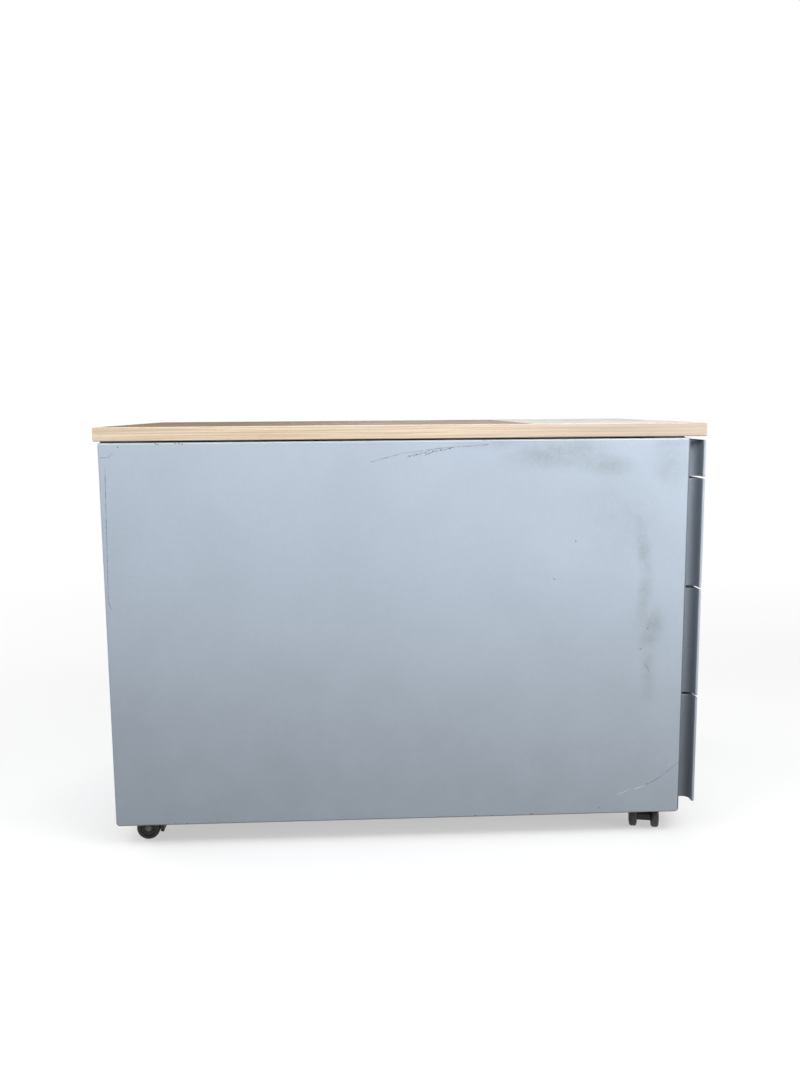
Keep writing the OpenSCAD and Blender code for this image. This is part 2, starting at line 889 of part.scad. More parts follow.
// side is -1 or 1, across the castor
module castor_wheel(castor, side) {
    color("#303133")
        castor_frame_at(castor)
            translate([trail, side * (wheel_gap + wheel_w) / 2, wheel_d / 2])
                rotate([-90 * side, 0, 0])
                    rotate_extrude()
                        wheel_section();
}

module front_left_wheel_1() { castor_wheel(front_left, -1); }
module front_left_wheel_2() { castor_wheel(front_left, 1); }
module front_right_wheel_1() { castor_wheel(front_right, -1); }
module front_right_wheel_2() { castor_wheel(front_right, 1); }
module rear_left_wheel_1() { castor_wheel(rear_left, -1); }
module rear_left_wheel_2() { castor_wheel(rear_left, 1); }
module rear_right_wheel_1() { castor_wheel(rear_right, -1); }
module rear_right_wheel_2() { castor_wheel(rear_right, 1); }

side_panel_left();
side_panel_right();
back_panel();
base_pan();
top_rail_front();
top_rail_rear();
uprights_left();
uprights_right();
top_board();
edge_bands();
top_screws();
pencil_case_rails();
upper_case_rails();
middle_case_rails();
lower_case_rails();
pencil_mid_rails();
upper_mid_rails();
middle_mid_rails();
lower_mid_rails();
pencil_box_rails();
upper_box_rails();
middle_box_rails();
lower_box_rails();
pencil_box();
pencil_box_walls();
upper_box();
middle_box();
lower_box();
pencil_front();
upper_front();
middle_front();
lower_front();
pencil_front_screws();
upper_front_screws();
middle_front_screws();
lower_front_screws();
pencil_tray();
lock_housing();
lock_barrel();
lock_cam();
lock_bar();
lock_bar_guides();
castor_plates();
castor_screws();
front_left_castor();
front_right_castor();
rear_left_castor();
rear_right_castor();
front_left_axle();
front_right_axle();
rear_left_axle();
rear_right_axle();
front_left_wheel_1();
front_left_wheel_2();
front_right_wheel_1();
front_right_wheel_2();
rear_left_wheel_1();
rear_left_wheel_2();
rear_right_wheel_1();
rear_right_wheel_2();
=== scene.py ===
import json
import math

import bmesh
import bpy
import numpy as np
from mathutils import Matrix, Vector

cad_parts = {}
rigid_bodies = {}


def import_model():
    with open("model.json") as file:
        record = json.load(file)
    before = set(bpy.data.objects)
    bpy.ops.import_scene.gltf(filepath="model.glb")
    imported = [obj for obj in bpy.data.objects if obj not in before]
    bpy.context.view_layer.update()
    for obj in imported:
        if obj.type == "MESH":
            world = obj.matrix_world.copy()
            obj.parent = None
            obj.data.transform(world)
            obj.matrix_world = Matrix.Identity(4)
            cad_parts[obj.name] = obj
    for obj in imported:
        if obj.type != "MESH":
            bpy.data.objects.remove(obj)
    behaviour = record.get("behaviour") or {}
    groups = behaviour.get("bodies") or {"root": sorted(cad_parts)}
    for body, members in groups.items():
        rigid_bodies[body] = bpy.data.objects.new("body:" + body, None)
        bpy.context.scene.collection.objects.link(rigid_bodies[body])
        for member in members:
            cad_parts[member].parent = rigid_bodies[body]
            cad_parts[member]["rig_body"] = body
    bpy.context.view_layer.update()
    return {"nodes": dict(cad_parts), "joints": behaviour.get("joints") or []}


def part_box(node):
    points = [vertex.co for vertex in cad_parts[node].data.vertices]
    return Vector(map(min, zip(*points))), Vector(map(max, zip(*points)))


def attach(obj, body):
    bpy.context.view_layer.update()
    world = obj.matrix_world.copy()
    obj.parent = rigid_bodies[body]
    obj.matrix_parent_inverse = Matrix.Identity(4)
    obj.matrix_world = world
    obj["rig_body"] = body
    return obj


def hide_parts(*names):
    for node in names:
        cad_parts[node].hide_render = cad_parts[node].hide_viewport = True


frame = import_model()
scene = bpy.context.scene
mm = 0.001
drawers = ("pencil", "upper", "middle", "lower")
castors = ("front_left", "front_right", "rear_left", "rear_right")


# Camera at eye level with the board, square to the left side panel
camera = {
    "place": (-1.4369, 0.0605, 0.5931),
    "turn": -2.532,  # degrees from +X towards +Y
    "dip": 7.660,    # degrees below the horizon
    "roll": -0.441,
    "lens": 31.63,
    "sensor": 36.0,  # along the picture's long side
}


def makeCamera(values):
    turn, dip, roll = (math.radians(values[key]) for key in ("turn", "dip", "roll"))
    ahead = Vector((math.cos(dip) * math.cos(turn), math.cos(dip) * math.sin(turn), -math.sin(dip)))
    level = ahead.cross(Vector((0, 0, 1))).normalized()
    upright = level.cross(ahead)
    right = math.cos(roll) * level + math.sin(roll) * upright
    up = math.cos(roll) * upright - math.sin(roll) * level
    data = bpy.data.cameras.new("camera")
    data.lens = values["lens"]
    data.sensor_width = values["sensor"]
    made = bpy.data.objects.new("camera", data)
    axes = Matrix((right, up, -ahead)).transposed().to_4x4()
    made.matrix_world = Matrix.Translation(values["place"]) @ axes
    scene.collection.objects.link(made)
    scene.camera = made


makeCamera(camera)
scene.view_settings.view_transform = "Standard"
print("camera placed")


def tint(red, green, blue):
    # sRGB shares out of 255 as a linear colour
    shares = np.array((red, green, blue)) / 255
    linear = np.where(shares <= 0.04045, shares / 12.92, ((shares + 0.055) / 1.055) ** 2.4)
    return (*linear.tolist(), 1.0)


def shaded(colour, factor, lift=0.0):
    return [min(1.0, share * factor + lift) for share in tint(*colour)[:3]] + [1.0]


tints = {
    "paintGrimeAndShade": (104, 104, 100), "paintDust": (196, 194, 188), "smoke": (118, 128, 126),
    "fleck": (222, 230, 238), "frontLine": (70, 78, 90), "lowerLine": (112, 100, 96),
    "paleScratch": (226, 232, 238), "darkScratch": (84, 90, 98), "chip": (62, 64, 70),
    "cove": (52, 56, 64), "frontEdge": (58, 61, 66), "pore": (176, 146, 110),
    "decorDust": (206, 200, 190), "decorWear": (196, 168, 132), "decorFront": (176, 162, 154),
    "flake": (236, 238, 240), "stain": (150, 148, 138), "metalGrime": (92, 90, 86),
    "metalDust": (176, 172, 166), "metalWear": (232, 234, 236), "plasticGrime": (92, 88, 82),
    "plasticDust": (150, 146, 140),
}

# Scale, detail and roughness of each noise that isn't tied to a material's own grain
grains = {
    "coatCloud": (9.0, 4.0, 0.55), "coatPatch": (160.0, 3.0, 0.7),
    "wearFine": (900.0, 2.0, 0.6), "dustFlecks": (45.0, 5.0, 0.65),
    "grimeStreaks": (22.0, 4.0, 0.6), "waver": (120.0, 2.0, 0.5),
    "scratchGaps": (260.0, 3.0, 0.7), "specks": (620.0, 3.0, 0.7),
    "flecks": (760.0, 2.0, 0.6), "decorCloud": (14.0, 3.0, 0.5),
    "stain": (30.0, 4.0, 0.6), "flow": (70.0, 4.0, 0.6),
    "floor": (3.0, 3.0, 0.5),
}


def feed(socket, value):
    if isinstance(value, bpy.types.NodeSocket):
        socket.id_data.links.new(value, socket)
    else:
        socket.default_value = value


def addNode(tree, kind, inputs=None, **settings):
    made = tree.nodes.new("ShaderNode" + kind)
    for name, value in settings.items():
        setattr(made, name, value)
    for name, value in (inputs or {}).items():
        feed(made.inputs[name], value)
    return made


def calc(tree, operation, *values, clamp=False):
    made = addNode(tree, "Math", operation=operation, use_clamp=clamp)
    for socket, value in zip(made.inputs, values):
        feed(socket, value)
    return made.outputs[0]


def times(tree, first, second):
    return calc(tree, "MULTIPLY", first, second)


def plus(tree, first, second, clamp=False):
    return calc(tree, "ADD", first, second, clamp=clamp)


def weigh(tree, first, second, share):
    # A mean in which first has the share and second the rest
    return plus(tree, times(tree, first, share), times(tree, second, 1 - share))


def vectorCalc(tree, operation, *values, result="Vector"):
    made = addNode(tree, "VectorMath", operation=operation)
    for socket, value in zip(made.inputs, values):
        feed(socket, value)
    return made.outputs[result]


def split(tree, vector):
    return addNode(tree, "SeparateXYZ", {"Vector": vector}).outputs


def stretch(tree, position, scale):
    return addNode(tree, "Mapping", {"Vector": position, "Scale": scale}).outputs["Vector"]


def blendColours(tree, share, low, high):
    made = addNode(tree, "Mix", data_type="RGBA")
    for index, value in zip((0, 6, 7), (share, low, high)):
        feed(made.inputs[index], value)
    return made.outputs[2]


def layer(tree, base, name, mask, strength=1.0):
    # A named tint over the base, as far as its mask and strength let it show
    if strength != 1.0:
        mask = times(tree, mask, strength)
    return blendColours(tree, mask, base, tint(*tints[name]))


def ramp(tree, value, low, high, start=0.0, end=1.0):
    # A smooth step from start to end as value goes from low to high
    inputs = {"Value": value, "From Min": low, "From Max": high, "To Min": start, "To Max": end}
    return addNode(tree, "MapRange", inputs, interpolation_type="SMOOTHSTEP").outputs["Result"]


def noise(tree, position, scale, detail=2.0, roughness=0.5):
    inputs = {"Vector": position, "Scale": scale, "Detail": detail, "Roughness": roughness}
    return addNode(tree, "TexNoise", inputs).outputs["Fac"]


def startGroup(name, inputs, outputs):
    # Inputs and outputs are name: socket kind
    group = bpy.data.node_groups.new(name, "ShaderNodeTree")
    for side, sockets in (("INPUT", inputs), ("OUTPUT", outputs)):
        for label, kind in sockets.items():
            group.interface.new_socket(name=label, in_out=side, socket_type="NodeSocket" + kind)
    return group, group.nodes.new("NodeGroupInput").outputs, group.nodes.new("NodeGroupOutput").inputs


def placeGroup(tree, group, **inputs):
    # Socket names are the words of the keyword, as in grainSize for "Grain Size"
    named = {}
    for key, value in inputs.items():
        words = "".join(" " + letter if letter.isupper() else letter for letter in key)
        named[words.title()] = value
    return addNode(tree, "Group", named, node_tree=group).outputs


# Powder coat: orange peel and pigment grain
def makeCoatGroup():
    inputs = {"Position": "Vector", "Grain Size": "Float"}
    group, given, out = startGroup("powderCoat", inputs, {"Height": "Float", "Mottle": "Float"})
    place = given["Position"]
    pitch = calc(group, "DIVIDE", 1.0, given["Grain Size"])
    grain = noise(group, place, pitch, 3.0, 0.6)
    peel = noise(group, place, times(group, pitch, 0.22))
    fine = weigh(group, noise(group, place, *grains["coatPatch"]), grain, 0.5)
    feed(out["Height"], weigh(group, grain, peel, 0.6))
    feed(out["Mottle"], weigh(group, noise(group, place, *grains["coatCloud"]), fine, 0.45))
    return group


# Wear along bends and arrises: the edge attribute broken up by noise
def makeWearGroup():
    inputs = {"Position": "Vector", "Edge": "Float", "Amount": "Float", "Patch Size": "Float"}
    group, given, out = startGroup("edgeWear", inputs, {"Mask": "Float"})
    place = given["Position"]
    broad = noise(group, place, calc(group, "DIVIDE", 1.0, given["Patch Size"]), 3.0, 0.6)
    share = weigh(group, broad, noise(group, place, *grains["wearFine"]), 0.75)
    strength = times(group, given["Edge"], times(group, share, 1.6))
    worn = calc(group, "SUBTRACT", strength, calc(group, "SUBTRACT", 1.0, given["Amount"]))
    feed(out["Mask"], ramp(group, worn, 0.0, 0.12))
    return group


# Dust on faces that look up, and grime that thins with height over the floor; on the case and fronts this
# darkening is also painted shade
def makeDustGroup():
    inputs = {"Position": "Vector", "Normal": "Vector", "Dust": "Float", "Grime": "Float",
              "Reach": "Float"}
    group, given, out = startGroup("dustGrimeAndShade", inputs, {"Dust": "Float", "Grime": "Float"})
    place = given["Position"]
    flecks = ramp(group, noise(group, place, *grains["dustFlecks"]), 0.3, 0.75)
    settled = times(group, ramp(group, split(group, given["Normal"])["Z"], 0.35, 0.95), flecks)
    feed(out["Dust"], times(group, settled, given["Dust"]))
    height = calc(group, "DIVIDE", split(group, place)["Z"], given["Reach"])
    low = ramp(group, height, 0.0, 1.0, 1.0, 0.0)
    streaks = ramp(group, noise(group, place, *grains["grimeStreaks"]), 0.2, 0.8, 0.8, 1.0)
    feed(out["Grime"], times(group, times(group, low, streaks), given["Grime"]))
    return group


# Distance from a line between two points, in the plane of the first two coordinates
def makeStrokeGroup():
    inputs = {"Point": "Vector", "Start": "Vector", "End": "Vector"}
    group, given, out = startGroup("strokeDistance", inputs, {"Distance": "Float"})
    along = vectorCalc(group, "SUBTRACT", given["End"], given["Start"])
    toPoint = vectorCalc(group, "SUBTRACT", given["Point"], given["Start"])
    part = vectorCalc(group, "DOT_PRODUCT", toPoint, along, result="Value")
    whole = vectorCalc(group, "DOT_PRODUCT", along, along, result="Value")
    inputs = {"Vector": along, "Scale": calc(group, "DIVIDE", part, whole, clamp=True)}
    foot = addNode(group, "VectorMath", inputs, operation="SCALE").outputs["Vector"]
    feed(out["Distance"], vectorCalc(group, "DISTANCE", toPoint, foot, result="Value"))
    return group


# A soft oval blot
def makeBlotGroup():
    inputs = {"Point": "Vector", "Centre": "Vector", "Half Size": "Vector", "Turn": "Float"}
    group, given, out = startGroup("blot", inputs, {"Mask": "Float"})
    moved = vectorCalc(group, "SUBTRACT", given["Point"], given["Centre"])
    inputs = {"Vector": moved, "Angle": given["Turn"]}
    turned = addNode(group, "VectorRotate", inputs, rotation_type="Z_AXIS").outputs["Vector"]
    scaled = vectorCalc(group, "DIVIDE", turned, given["Half Size"])
    reach = vectorCalc(group, "LENGTH", scaled, result="Value")
    feed(out["Mask"], ramp(group, reach, 0.0, 1.0, 1.0, 0.0))
    return group


# Printed wood decor: drifting growth lines, fibres and pores; X runs with the grain
woodScale = {"drift": (3.2, 7.0, 7.0), "fibres": (55.0, 1300.0, 1300.0), "pores": (110.0, 2100.0, 2100.0)}
woodDrift = 6.0 * mm


def makeWoodGroup():
    inputs = {"Position": "Vector", "Line Pitch": "Float", "Light": "Color", "Dark": "Color"}
    group, given, out = startGroup("woodDecor", inputs, {"Color": "Color", "Height": "Float"})
    place = given["Position"]
    parts = split(group, place)
    wander = calc(group, "SUBTRACT", noise(group, stretch(group, place, woodScale["drift"]), 1.0), 0.5)
    across = plus(group, parts["Y"], times(group, wander, woodDrift))
    lines = calc(group, "DIVIDE", across, given["Line Pitch"])
    inputs = {"X": times(group, parts["X"], 5.0), "Y": lines, "Z": parts["Z"]}
    streaks = noise(group, addNode(group, "CombineXYZ", inputs).outputs["Vector"], 1.0, 2.5, 0.55)
    fibres = noise(group, stretch(group, place, woodScale["fibres"]), 1.0, 2.0, 0.6)
    pores = ramp(group, noise(group, stretch(group, place, woodScale["pores"]), 1.0, 1.0), 0.62, 0.74)
    shade = weigh(group, ramp(group, streaks, 0.36, 0.66), fibres, 0.72)
    colour = blendColours(group, shade, given["Light"], given["Dark"])
    feed(out["Color"], layer(group, colour, "pore", pores, 0.35))
    feed(out["Height"], calc(group, "SUBTRACT", times(group, fibres, 0.5), pores))
    return group


coatGroup = makeCoatGroup()
wearGroup = makeWearGroup()
dustGroup = makeDustGroup()
strokeGroup = makeStrokeGroup()
blotGroup = makeBlotGroup()
woodGroup = makeWoodGroup()
print("shader groups made")


materials = {}


def startMaterial(name):
    materials[name] = bpy.data.materials.new(name)
    materials[name].use_nodes = True
    tree = materials[name].node_tree
    return tree, tree.nodes["Principled BSDF"], tree.nodes.new("ShaderNodeTexCoord").outputs


def finishShader(tree, shader, base, rough, height, depth, strength=1.0):
    # Height is a pattern from 0 to 1, and depth its relief in metres
    inputs = {"Height": height, "Distance": depth, "Strength": strength}
    feed(shader.inputs["Base Color"], base)
    feed(shader.inputs["Roughness"], rough)
    feed(shader.inputs["Normal"], addNode(tree, "Bump", inputs).outputs["Normal"])


def soilAndWear(tree, coordinates, dust, grime, wear, reach=0.18, patch=0.02):
    position = coordinates["Object"]
    soil = placeGroup(tree, dustGroup, position=position, normal=coordinates["Normal"], dust=dust,
                      grime=grime, reach=reach)
    edge = addNode(tree, "Attribute", attribute_name="edge").outputs["Fac"]
    worn = placeGroup(tree, wearGroup, position=position, edge=edge, amount=wear, patchSize=patch)
    return soil, worn["Mask"]


# Powder-coated steel
def paintedSteel(name, colour, roughness=0.45, metallic=0.1, grain=0.0009, wear=0.12, dust=0.2,
                 grime=0.25, reach=0.18, worn=(118, 120, 122), specular=0.4, marks=None):
    tree, shader, coordinates = startMaterial(name)
    coat = placeGroup(tree, coatGroup, position=coordinates["Object"], grainSize=grain)
    soil, wearMask = soilAndWear(tree, coordinates, dust, grime, wear, reach)
    base = blendColours(tree, coat["Mottle"], shaded(colour, 0.84), shaded(colour, 1.16))
    # Grime, and on the case and fronts painted shade, darker toward the floor
    base = layer(tree, base, "paintGrimeAndShade", soil["Grime"])
    base = layer(tree, base, "paintDust", soil["Dust"])
    rough = plus(tree, roughness - 0.05, times(tree, coat["Mottle"], 0.1))
    if marks:
        base, rough = marks(tree, coordinates, base, rough)
    base = blendColours(tree, wearMask, base, tint(*worn))
    rough = plus(tree, rough, times(tree, soil["Dust"], 0.3), clamp=True)
    finishShader(tree, shader, base, rough, coat["Height"], 0.04 * mm)
    shader.inputs["Metallic"].default_value = metallic
    shader.inputs["Specular IOR Level"].default_value = specular


# Marks on the left side panel, and painted shade along its front and lower bends, in millimetres along Y and
# Z
panelMarks = {
    "darkScratch": (
        ((391, 532), (381, 532)), ((381, 532), (377, 537)), ((377, 537), (373, 535)),
        ((43, 523), (6, 533)), ((6, 533), (-47, 540)), ((-47, 540), (-110, 544)),
        ((-325, 245), (-330, 238)), ((-330, 238), (-331, 234)),
        ((-378, 106), (-350, 83)), ((-350, 83), (-334, 74)),
        ((386, 518), (390, 343)), ((390, 343), (387, 334)),
        ((-4, 528), (-14, 533)), ((-12, 530), (-24, 535)), ((-20, 531), (-33, 537)),
        ((-31, 533), (-43, 538)), ((-41, 535), (-54, 541)), ((-27, 531), (-38, 535)),
        ((-50, 537), (-63, 541)),
    ),
    "paleScratch": (((-328, 71), (-316, 68)), ((-309, 67), (-292, 60))),
    "chips": (
        (320, 549), (317, 548), (295, 549), (290, 549), (286, 548), (368, 545), (-328, 294), (-319, 266),
        (-228, 415), (-200, 364), (-95, 35), (-118, 34), (-173, 35), (-267, 41), (314, 34), (299, 34),
        (-60, 539), (-48, 537), (-38, 536), (-28, 534), (-17, 532), (-7, 530), (-334, 74),
    ),
    # centre, half size, turn in degrees, strength
    "smudges": (
        ((-205, 532), (98, 30), 4, 0.46), ((-262, 518), (62, 26), -8, 0.42),
        ((-120, 545), (70, 12), 2, 0.26), ((-350, 515), (40, 54), 12, 0.26),
        ((-318, 410), (15, 82), 10, 0.40), ((-322, 335), (15, 66), -6, 0.40),
        ((-332, 292), (22, 46), -12, 0.48), ((-329, 232), (14, 62), 2, 0.38),
        ((-290, 455), (90, 90), 0, 0.17), ((-352, 543), (38, 14), 10, 0.28),
    ),
    # where the painted shade along a bend has faded out and where it is full
    "frontLine": (-375.7, -376.7),
    "lowerLine": (34.9, 33.8),
    "scratchWidth": 0.62,
    "waver": 1.2,
    "chipRadius": 0.9,
    "chipLength": (0.9, 0.4),
    "rubbedScale": (50.0, 42.0, 50.0),
}


def panelPoint(values):
    return (values[0] * mm, values[1] * mm, 0.0)


def nearest(tree, point, strokes):
    # Smallest distance from the point to any of the strokes
    distance = None
    for start, end in strokes:
        ends = {"start": panelPoint(start), "end": panelPoint(end)}
        found = placeGroup(tree, strokeGroup, point=point, **ends)["Distance"]
        distance = found if distance is None else calc(tree, "MINIMUM", distance, found)
    return distance


def markPanel(tree, coordinates, base, rough):
    position = coordinates["Object"]
    parts = split(tree, position)
    flat = addNode(tree, "CombineXYZ", {"X": parts["Y"], "Y": parts["Z"]}).outputs["Vector"]
    waver = calc(tree, "SUBTRACT", noise(tree, position, *grains["waver"]), 0.5)
    waver = times(tree, waver, panelMarks["waver"] * mm)
    thin = ramp(tree, noise(tree, position, *grains["scratchGaps"]), 0.25, 0.6, 0.25, 1.0)
    width = panelMarks["scratchWidth"] * mm
    scratches = {}
    for name in ("darkScratch", "paleScratch"):
        away = plus(tree, nearest(tree, flat, panelMarks[name]), waver)
        scratches[name] = times(tree, ramp(tree, away, width * 0.3, width, 1.0, 0.0), thin)
    right, up = panelMarks["chipLength"]
    spots = [((y, z), (y + right, z + up)) for y, z in panelMarks["chips"]]
    radius = panelMarks["chipRadius"] * mm
    chips = ramp(tree, nearest(tree, flat, spots), radius * 0.35, radius, 1.0, 0.0)
    smoke = None
    for centre, size, turn, strength in panelMarks["smudges"]:
        half = (size[0] * mm, size[1] * mm, 1.0)
        blot = placeGroup(tree, blotGroup, point=flat, centre=panelPoint(centre), halfSize=half,
                          turn=math.radians(turn))["Mask"]
        blot = times(tree, blot, strength)
        smoke = blot if smoke is None else calc(tree, "MAXIMUM", smoke, blot)
    # Rubbed dirt: patches broken by short streaks and fine specks
    rubbed = stretch(tree, position, panelMarks["rubbedScale"])
    broken = ramp(tree, noise(tree, rubbed, 1.0, 8.0, 0.8), 0.34, 0.66, 0.3, 1.0)
    specks = ramp(tree, noise(tree, position, *grains["specks"]), 0.5, 0.68)
    smoke = times(tree, smoke, plus(tree, broken, times(tree, specks, 0.5)))
    base = layer(tree, base, "smoke", smoke)
    flecks = ramp(tree, noise(tree, position, *grains["flecks"]), 0.62, 0.7)
    toward = ramp(tree, parts["Y"], -0.38, 0.1, 0.17, 0.03)
    base = layer(tree, base, "fleck", times(tree, flecks, toward))
    # Painted shade: dark lines along the panel's front bend and lower bend
    for name, axis, strength in (("frontLine", "Y", 0.85), ("lowerLine", "Z", 0.55)):
        faded, full = (value * mm for value in panelMarks[name])
        base = layer(tree, base, name, ramp(tree, parts[axis], full, faded, 1.0, 0.0), strength)
    base = layer(tree, base, "paleScratch", scratches["paleScratch"], 0.6)
    base = layer(tree, base, "darkScratch", scratches["darkScratch"], 0.7)
    base = layer(tree, base, "chip", chips, 0.85)
    return base, plus(tree, rough, times(tree, smoke, 0.2))


# Painted shade on the drawer fronts, in millimetres: their upper and lower edges, and the coves toward the
# lip
frontShade = {"coveFrom": -384.0, "coveTo": -396.0, "lipStart": -396.6, "coveReach": 190.0,
              "coveShadeShare": 0.46, "edgeShare": 0.75}


def paintFrontShade(tree, coordinates, base, rough):
    parts = split(tree, coordinates["Object"])
    # Painted shade in each cove, deepening toward the lip
    deep = ramp(tree, parts["Y"], frontShade["coveTo"] * mm, frontShade["coveFrom"] * mm, 1.0, 0.0)
    behind = calc(tree, "GREATER_THAN", parts["Y"], frontShade["lipStart"] * mm)
    aside = calc(tree, "ABSOLUTE", parts["X"])
    aside = calc(tree, "GREATER_THAN", aside, frontShade["coveReach"] * mm)
    cove = times(tree, times(tree, deep, behind), aside)
    base = layer(tree, base, "cove", cove, frontShade["coveShadeShare"])
    # Painted shade on the faces that look up or down, in the seams between the fronts
    rise = calc(tree, "ABSOLUTE", split(tree, coordinates["Normal"])["Z"])
    edge = ramp(tree, rise, 0.6, 0.95)
    base = layer(tree, base, "frontEdge", edge, frontShade["edgeShare"])
    return base, plus(tree, rough, times(tree, edge, 0.3))


# Printed decor on board and bands
def decor(name, swap, light, dark, pitch, roughness, specular, front=0.0, sheen=None):
    tree, shader, coordinates = startMaterial(name)
    parts = split(tree, coordinates["Object"])
    place = coordinates["UV"]
    if swap:
        inputs = {"X": parts["Y"], "Y": parts["X"], "Z": parts["Z"]}
        place = addNode(tree, "CombineXYZ", inputs).outputs["Vector"]
    wood = placeGroup(tree, woodGroup, position=place, linePitch=pitch, light=tint(*light),
                      dark=tint(*dark))
    soil, wearMask = soilAndWear(tree, coordinates, 0.08, 0.0, 0.35)
    base = layer(tree, wood["Color"], "decorDust", soil["Dust"])
    base = layer(tree, base, "decorWear", wearMask, 0.5)
    if front:
        # Greyer and pinker toward the front
        base = layer(tree, base, "decorFront", ramp(tree, parts["Y"], -0.34, -0.02, front, 0.0))
    if sheen:
        # Painted reflection: looked along, the polished face takes on the dim side of a room, and a pale
        # patch at its front
        deep, pale, edge = sheen
        along = ramp(tree, parts["Y"], edge - 4 * mm, edge + 4 * mm)
        facing = addNode(tree, "LayerWeight", {"Blend": 0.5}).outputs["Facing"]
        base = blendColours(tree, ramp(tree, facing, 0.84, 0.94, 0.0, 0.9), base,
                            blendColours(tree, along, tint(*pale), tint(*deep)))
    cloud = noise(tree, coordinates["Object"], *grains["decorCloud"])
    rough = ramp(tree, cloud, 0.3, 0.7, roughness - 0.05, roughness + 0.06)
    finishShader(tree, shader, base, rough, wood["Height"], 0.03 * mm)
    shader.inputs["Specular IOR Level"].default_value = specular


# Zinc-plated or nickel-plated steel, drawn along Y
def platedSteel(name, colour, roughness, drawn=0.4, stain=0.2):
    tree, shader, coordinates = startMaterial(name)
    position = coordinates["Object"]
    lines = noise(tree, stretch(tree, position, (2200.0, 30.0, 2200.0)), 1.0, 2.0, 0.6)
    spangle = addNode(tree, "TexVoronoi", {"Vector": position, "Scale": 180.0}).outputs["Color"]
    cloud = ramp(tree, noise(tree, position, *grains["stain"]), 0.3, 0.75)
    soil, wearMask = soilAndWear(tree, coordinates, 0.25, 0.3, 0.2)
    base = layer(tree, tint(*colour), "flake", split(tree, spangle)["X"], 0.16)
    base = layer(tree, base, "stain", cloud, stain)
    base = layer(tree, base, "metalGrime", soil["Grime"])
    base = layer(tree, base, "metalDust", soil["Dust"])
    base = layer(tree, base, "metalWear", wearMask, 0.6)
    rough = plus(tree, times(tree, lines, drawn * 0.3), roughness)
    rough = plus(tree, rough, times(tree, cloud, 0.12))
    finishShader(tree, shader, base, rough, lines, 0.01 * mm, drawn)
    shader.inputs["Metallic"].default_value = 1.0


# Moulded plastic with a spark-eroded grain, scuffed on its edges
def mouldedPlastic(name, colour, roughness, dust=0.3, grime=0.3, scuff=(96, 96, 98), grain=0.0006):
    tree, shader, coordinates = startMaterial(name)
    flow = noise(tree, coordinates["Object"], *grains["flow"])
    soil, wearMask = soilAndWear(tree, coordinates, dust, grime, 0.4, reach=0.06, patch=0.006)
    base = blendColours(tree, ramp(tree, flow, 0.3, 0.8), tint(*colour), shaded(colour, 1.5, 0.002))
    base = layer(tree, base, "plasticGrime", soil["Grime"])
    base = layer(tree, base, "plasticDust", soil["Dust"])
    base = blendColours(tree, times(tree, wearMask, 0.5), base, tint(*scuff))
    rough = ramp(tree, flow, 0.2, 0.8, roughness - 0.06, roughness + 0.1)
    skin = noise(tree, coordinates["Object"], 1 / grain, 3.0, 0.6)
    finishShader(tree, shader, base, rough, skin, 0.04 * mm)


# The case's grime reaches high and is partly painted shade, darker toward the floor
casePaint = {"colour": (180, 192, 206), "grime": 0.4, "reach": 0.42}
paintedSteel("sidePaint", **casePaint)
paintedSteel("markedPaint", **casePaint, marks=markPanel)
# The fronts' grime is partly painted shade, darker toward the floor
paintedSteel("frontPaint", (180, 190, 202), metallic=0.0, wear=0.16, grime=0.45, reach=0.36, specular=0.15,
             marks=paintFrontShade)
paintedSteel("backPaint", (170, 180, 191), grime=0.35, dust=0.3)
paintedSteel("framePaint", (128, 136, 144), roughness=0.5, wear=0.35)
paintedSteel("boxPaint", (134, 141, 148), roughness=0.48, grain=0.0016, wear=0.3, dust=0.1, specular=0.25)
decor("boardDecor", True, (196, 174, 148), (166, 142, 117), 0.0042, 0.6, 0.02,
      sheen=((106, 89, 75), (168, 170, 166), -0.17))
decor("bandDecor", False, (235, 219, 197), (201, 178, 149), 0.0018, 0.46, 0.3, 0.5)
platedSteel("zincSteel", (196, 199, 202), 0.24)
platedSteel("screwSteel", (190, 190, 184), 0.22, stain=0.3)
platedSteel("lockNickel", (208, 206, 200), 0.14, drawn=0.15, stain=0.1)
mouldedPlastic("blackPlastic", (28, 29, 31), 0.42)
paintedSteel("blackCasting", (20, 21, 23), roughness=0.4, grain=0.0007, wear=0.2, dust=0.04, grime=0.05,
             worn=(92, 92, 94))
mouldedPlastic("trayPlastic", (40, 42, 45), 0.5, dust=0.08, grime=0.0)
platedSteel("blackSteel", (34, 34, 36), 0.4, stain=0.1)
mouldedPlastic("wheelPlastic", (15, 16, 17), 0.5, dust=0.05, grime=0.06, scuff=(70, 70, 72))
print("materials made:", len(materials))


def readValues(items, name, width=1, kind=float):
    values = np.empty(len(items) * width, kind)
    items.foreach_get(name, values)
    return values


def shadeByArea(mesh):
    # A vertex normal is the mean of its face normals weighted by area, so the narrow bevels do the turning
    normals = readValues(mesh.polygons, "normal", 3)
    areas = readValues(mesh.polygons, "area")
    sides = readValues(mesh.polygons, "loop_total", 1, np.int32)
    corners = readValues(mesh.loops, "vertex_index", 1, np.int32)
    weighted = normals.reshape(-1, 3) * areas[:, None]
    total = np.zeros((len(mesh.vertices), 3))
    np.add.at(total, corners, weighted[np.repeat(np.arange(len(areas)), sides)])
    total /= np.maximum(np.linalg.norm(total, axis=1, keepdims=True), 1e-12)
    mesh.polygons.foreach_set("use_smooth", np.ones(len(areas), bool))
    mesh.normals_split_custom_set_from_vertices(total)


def pieceName(node):
    words = node.split("_")
    return words[0] + "".join(word.capitalize() for word in words[1:])


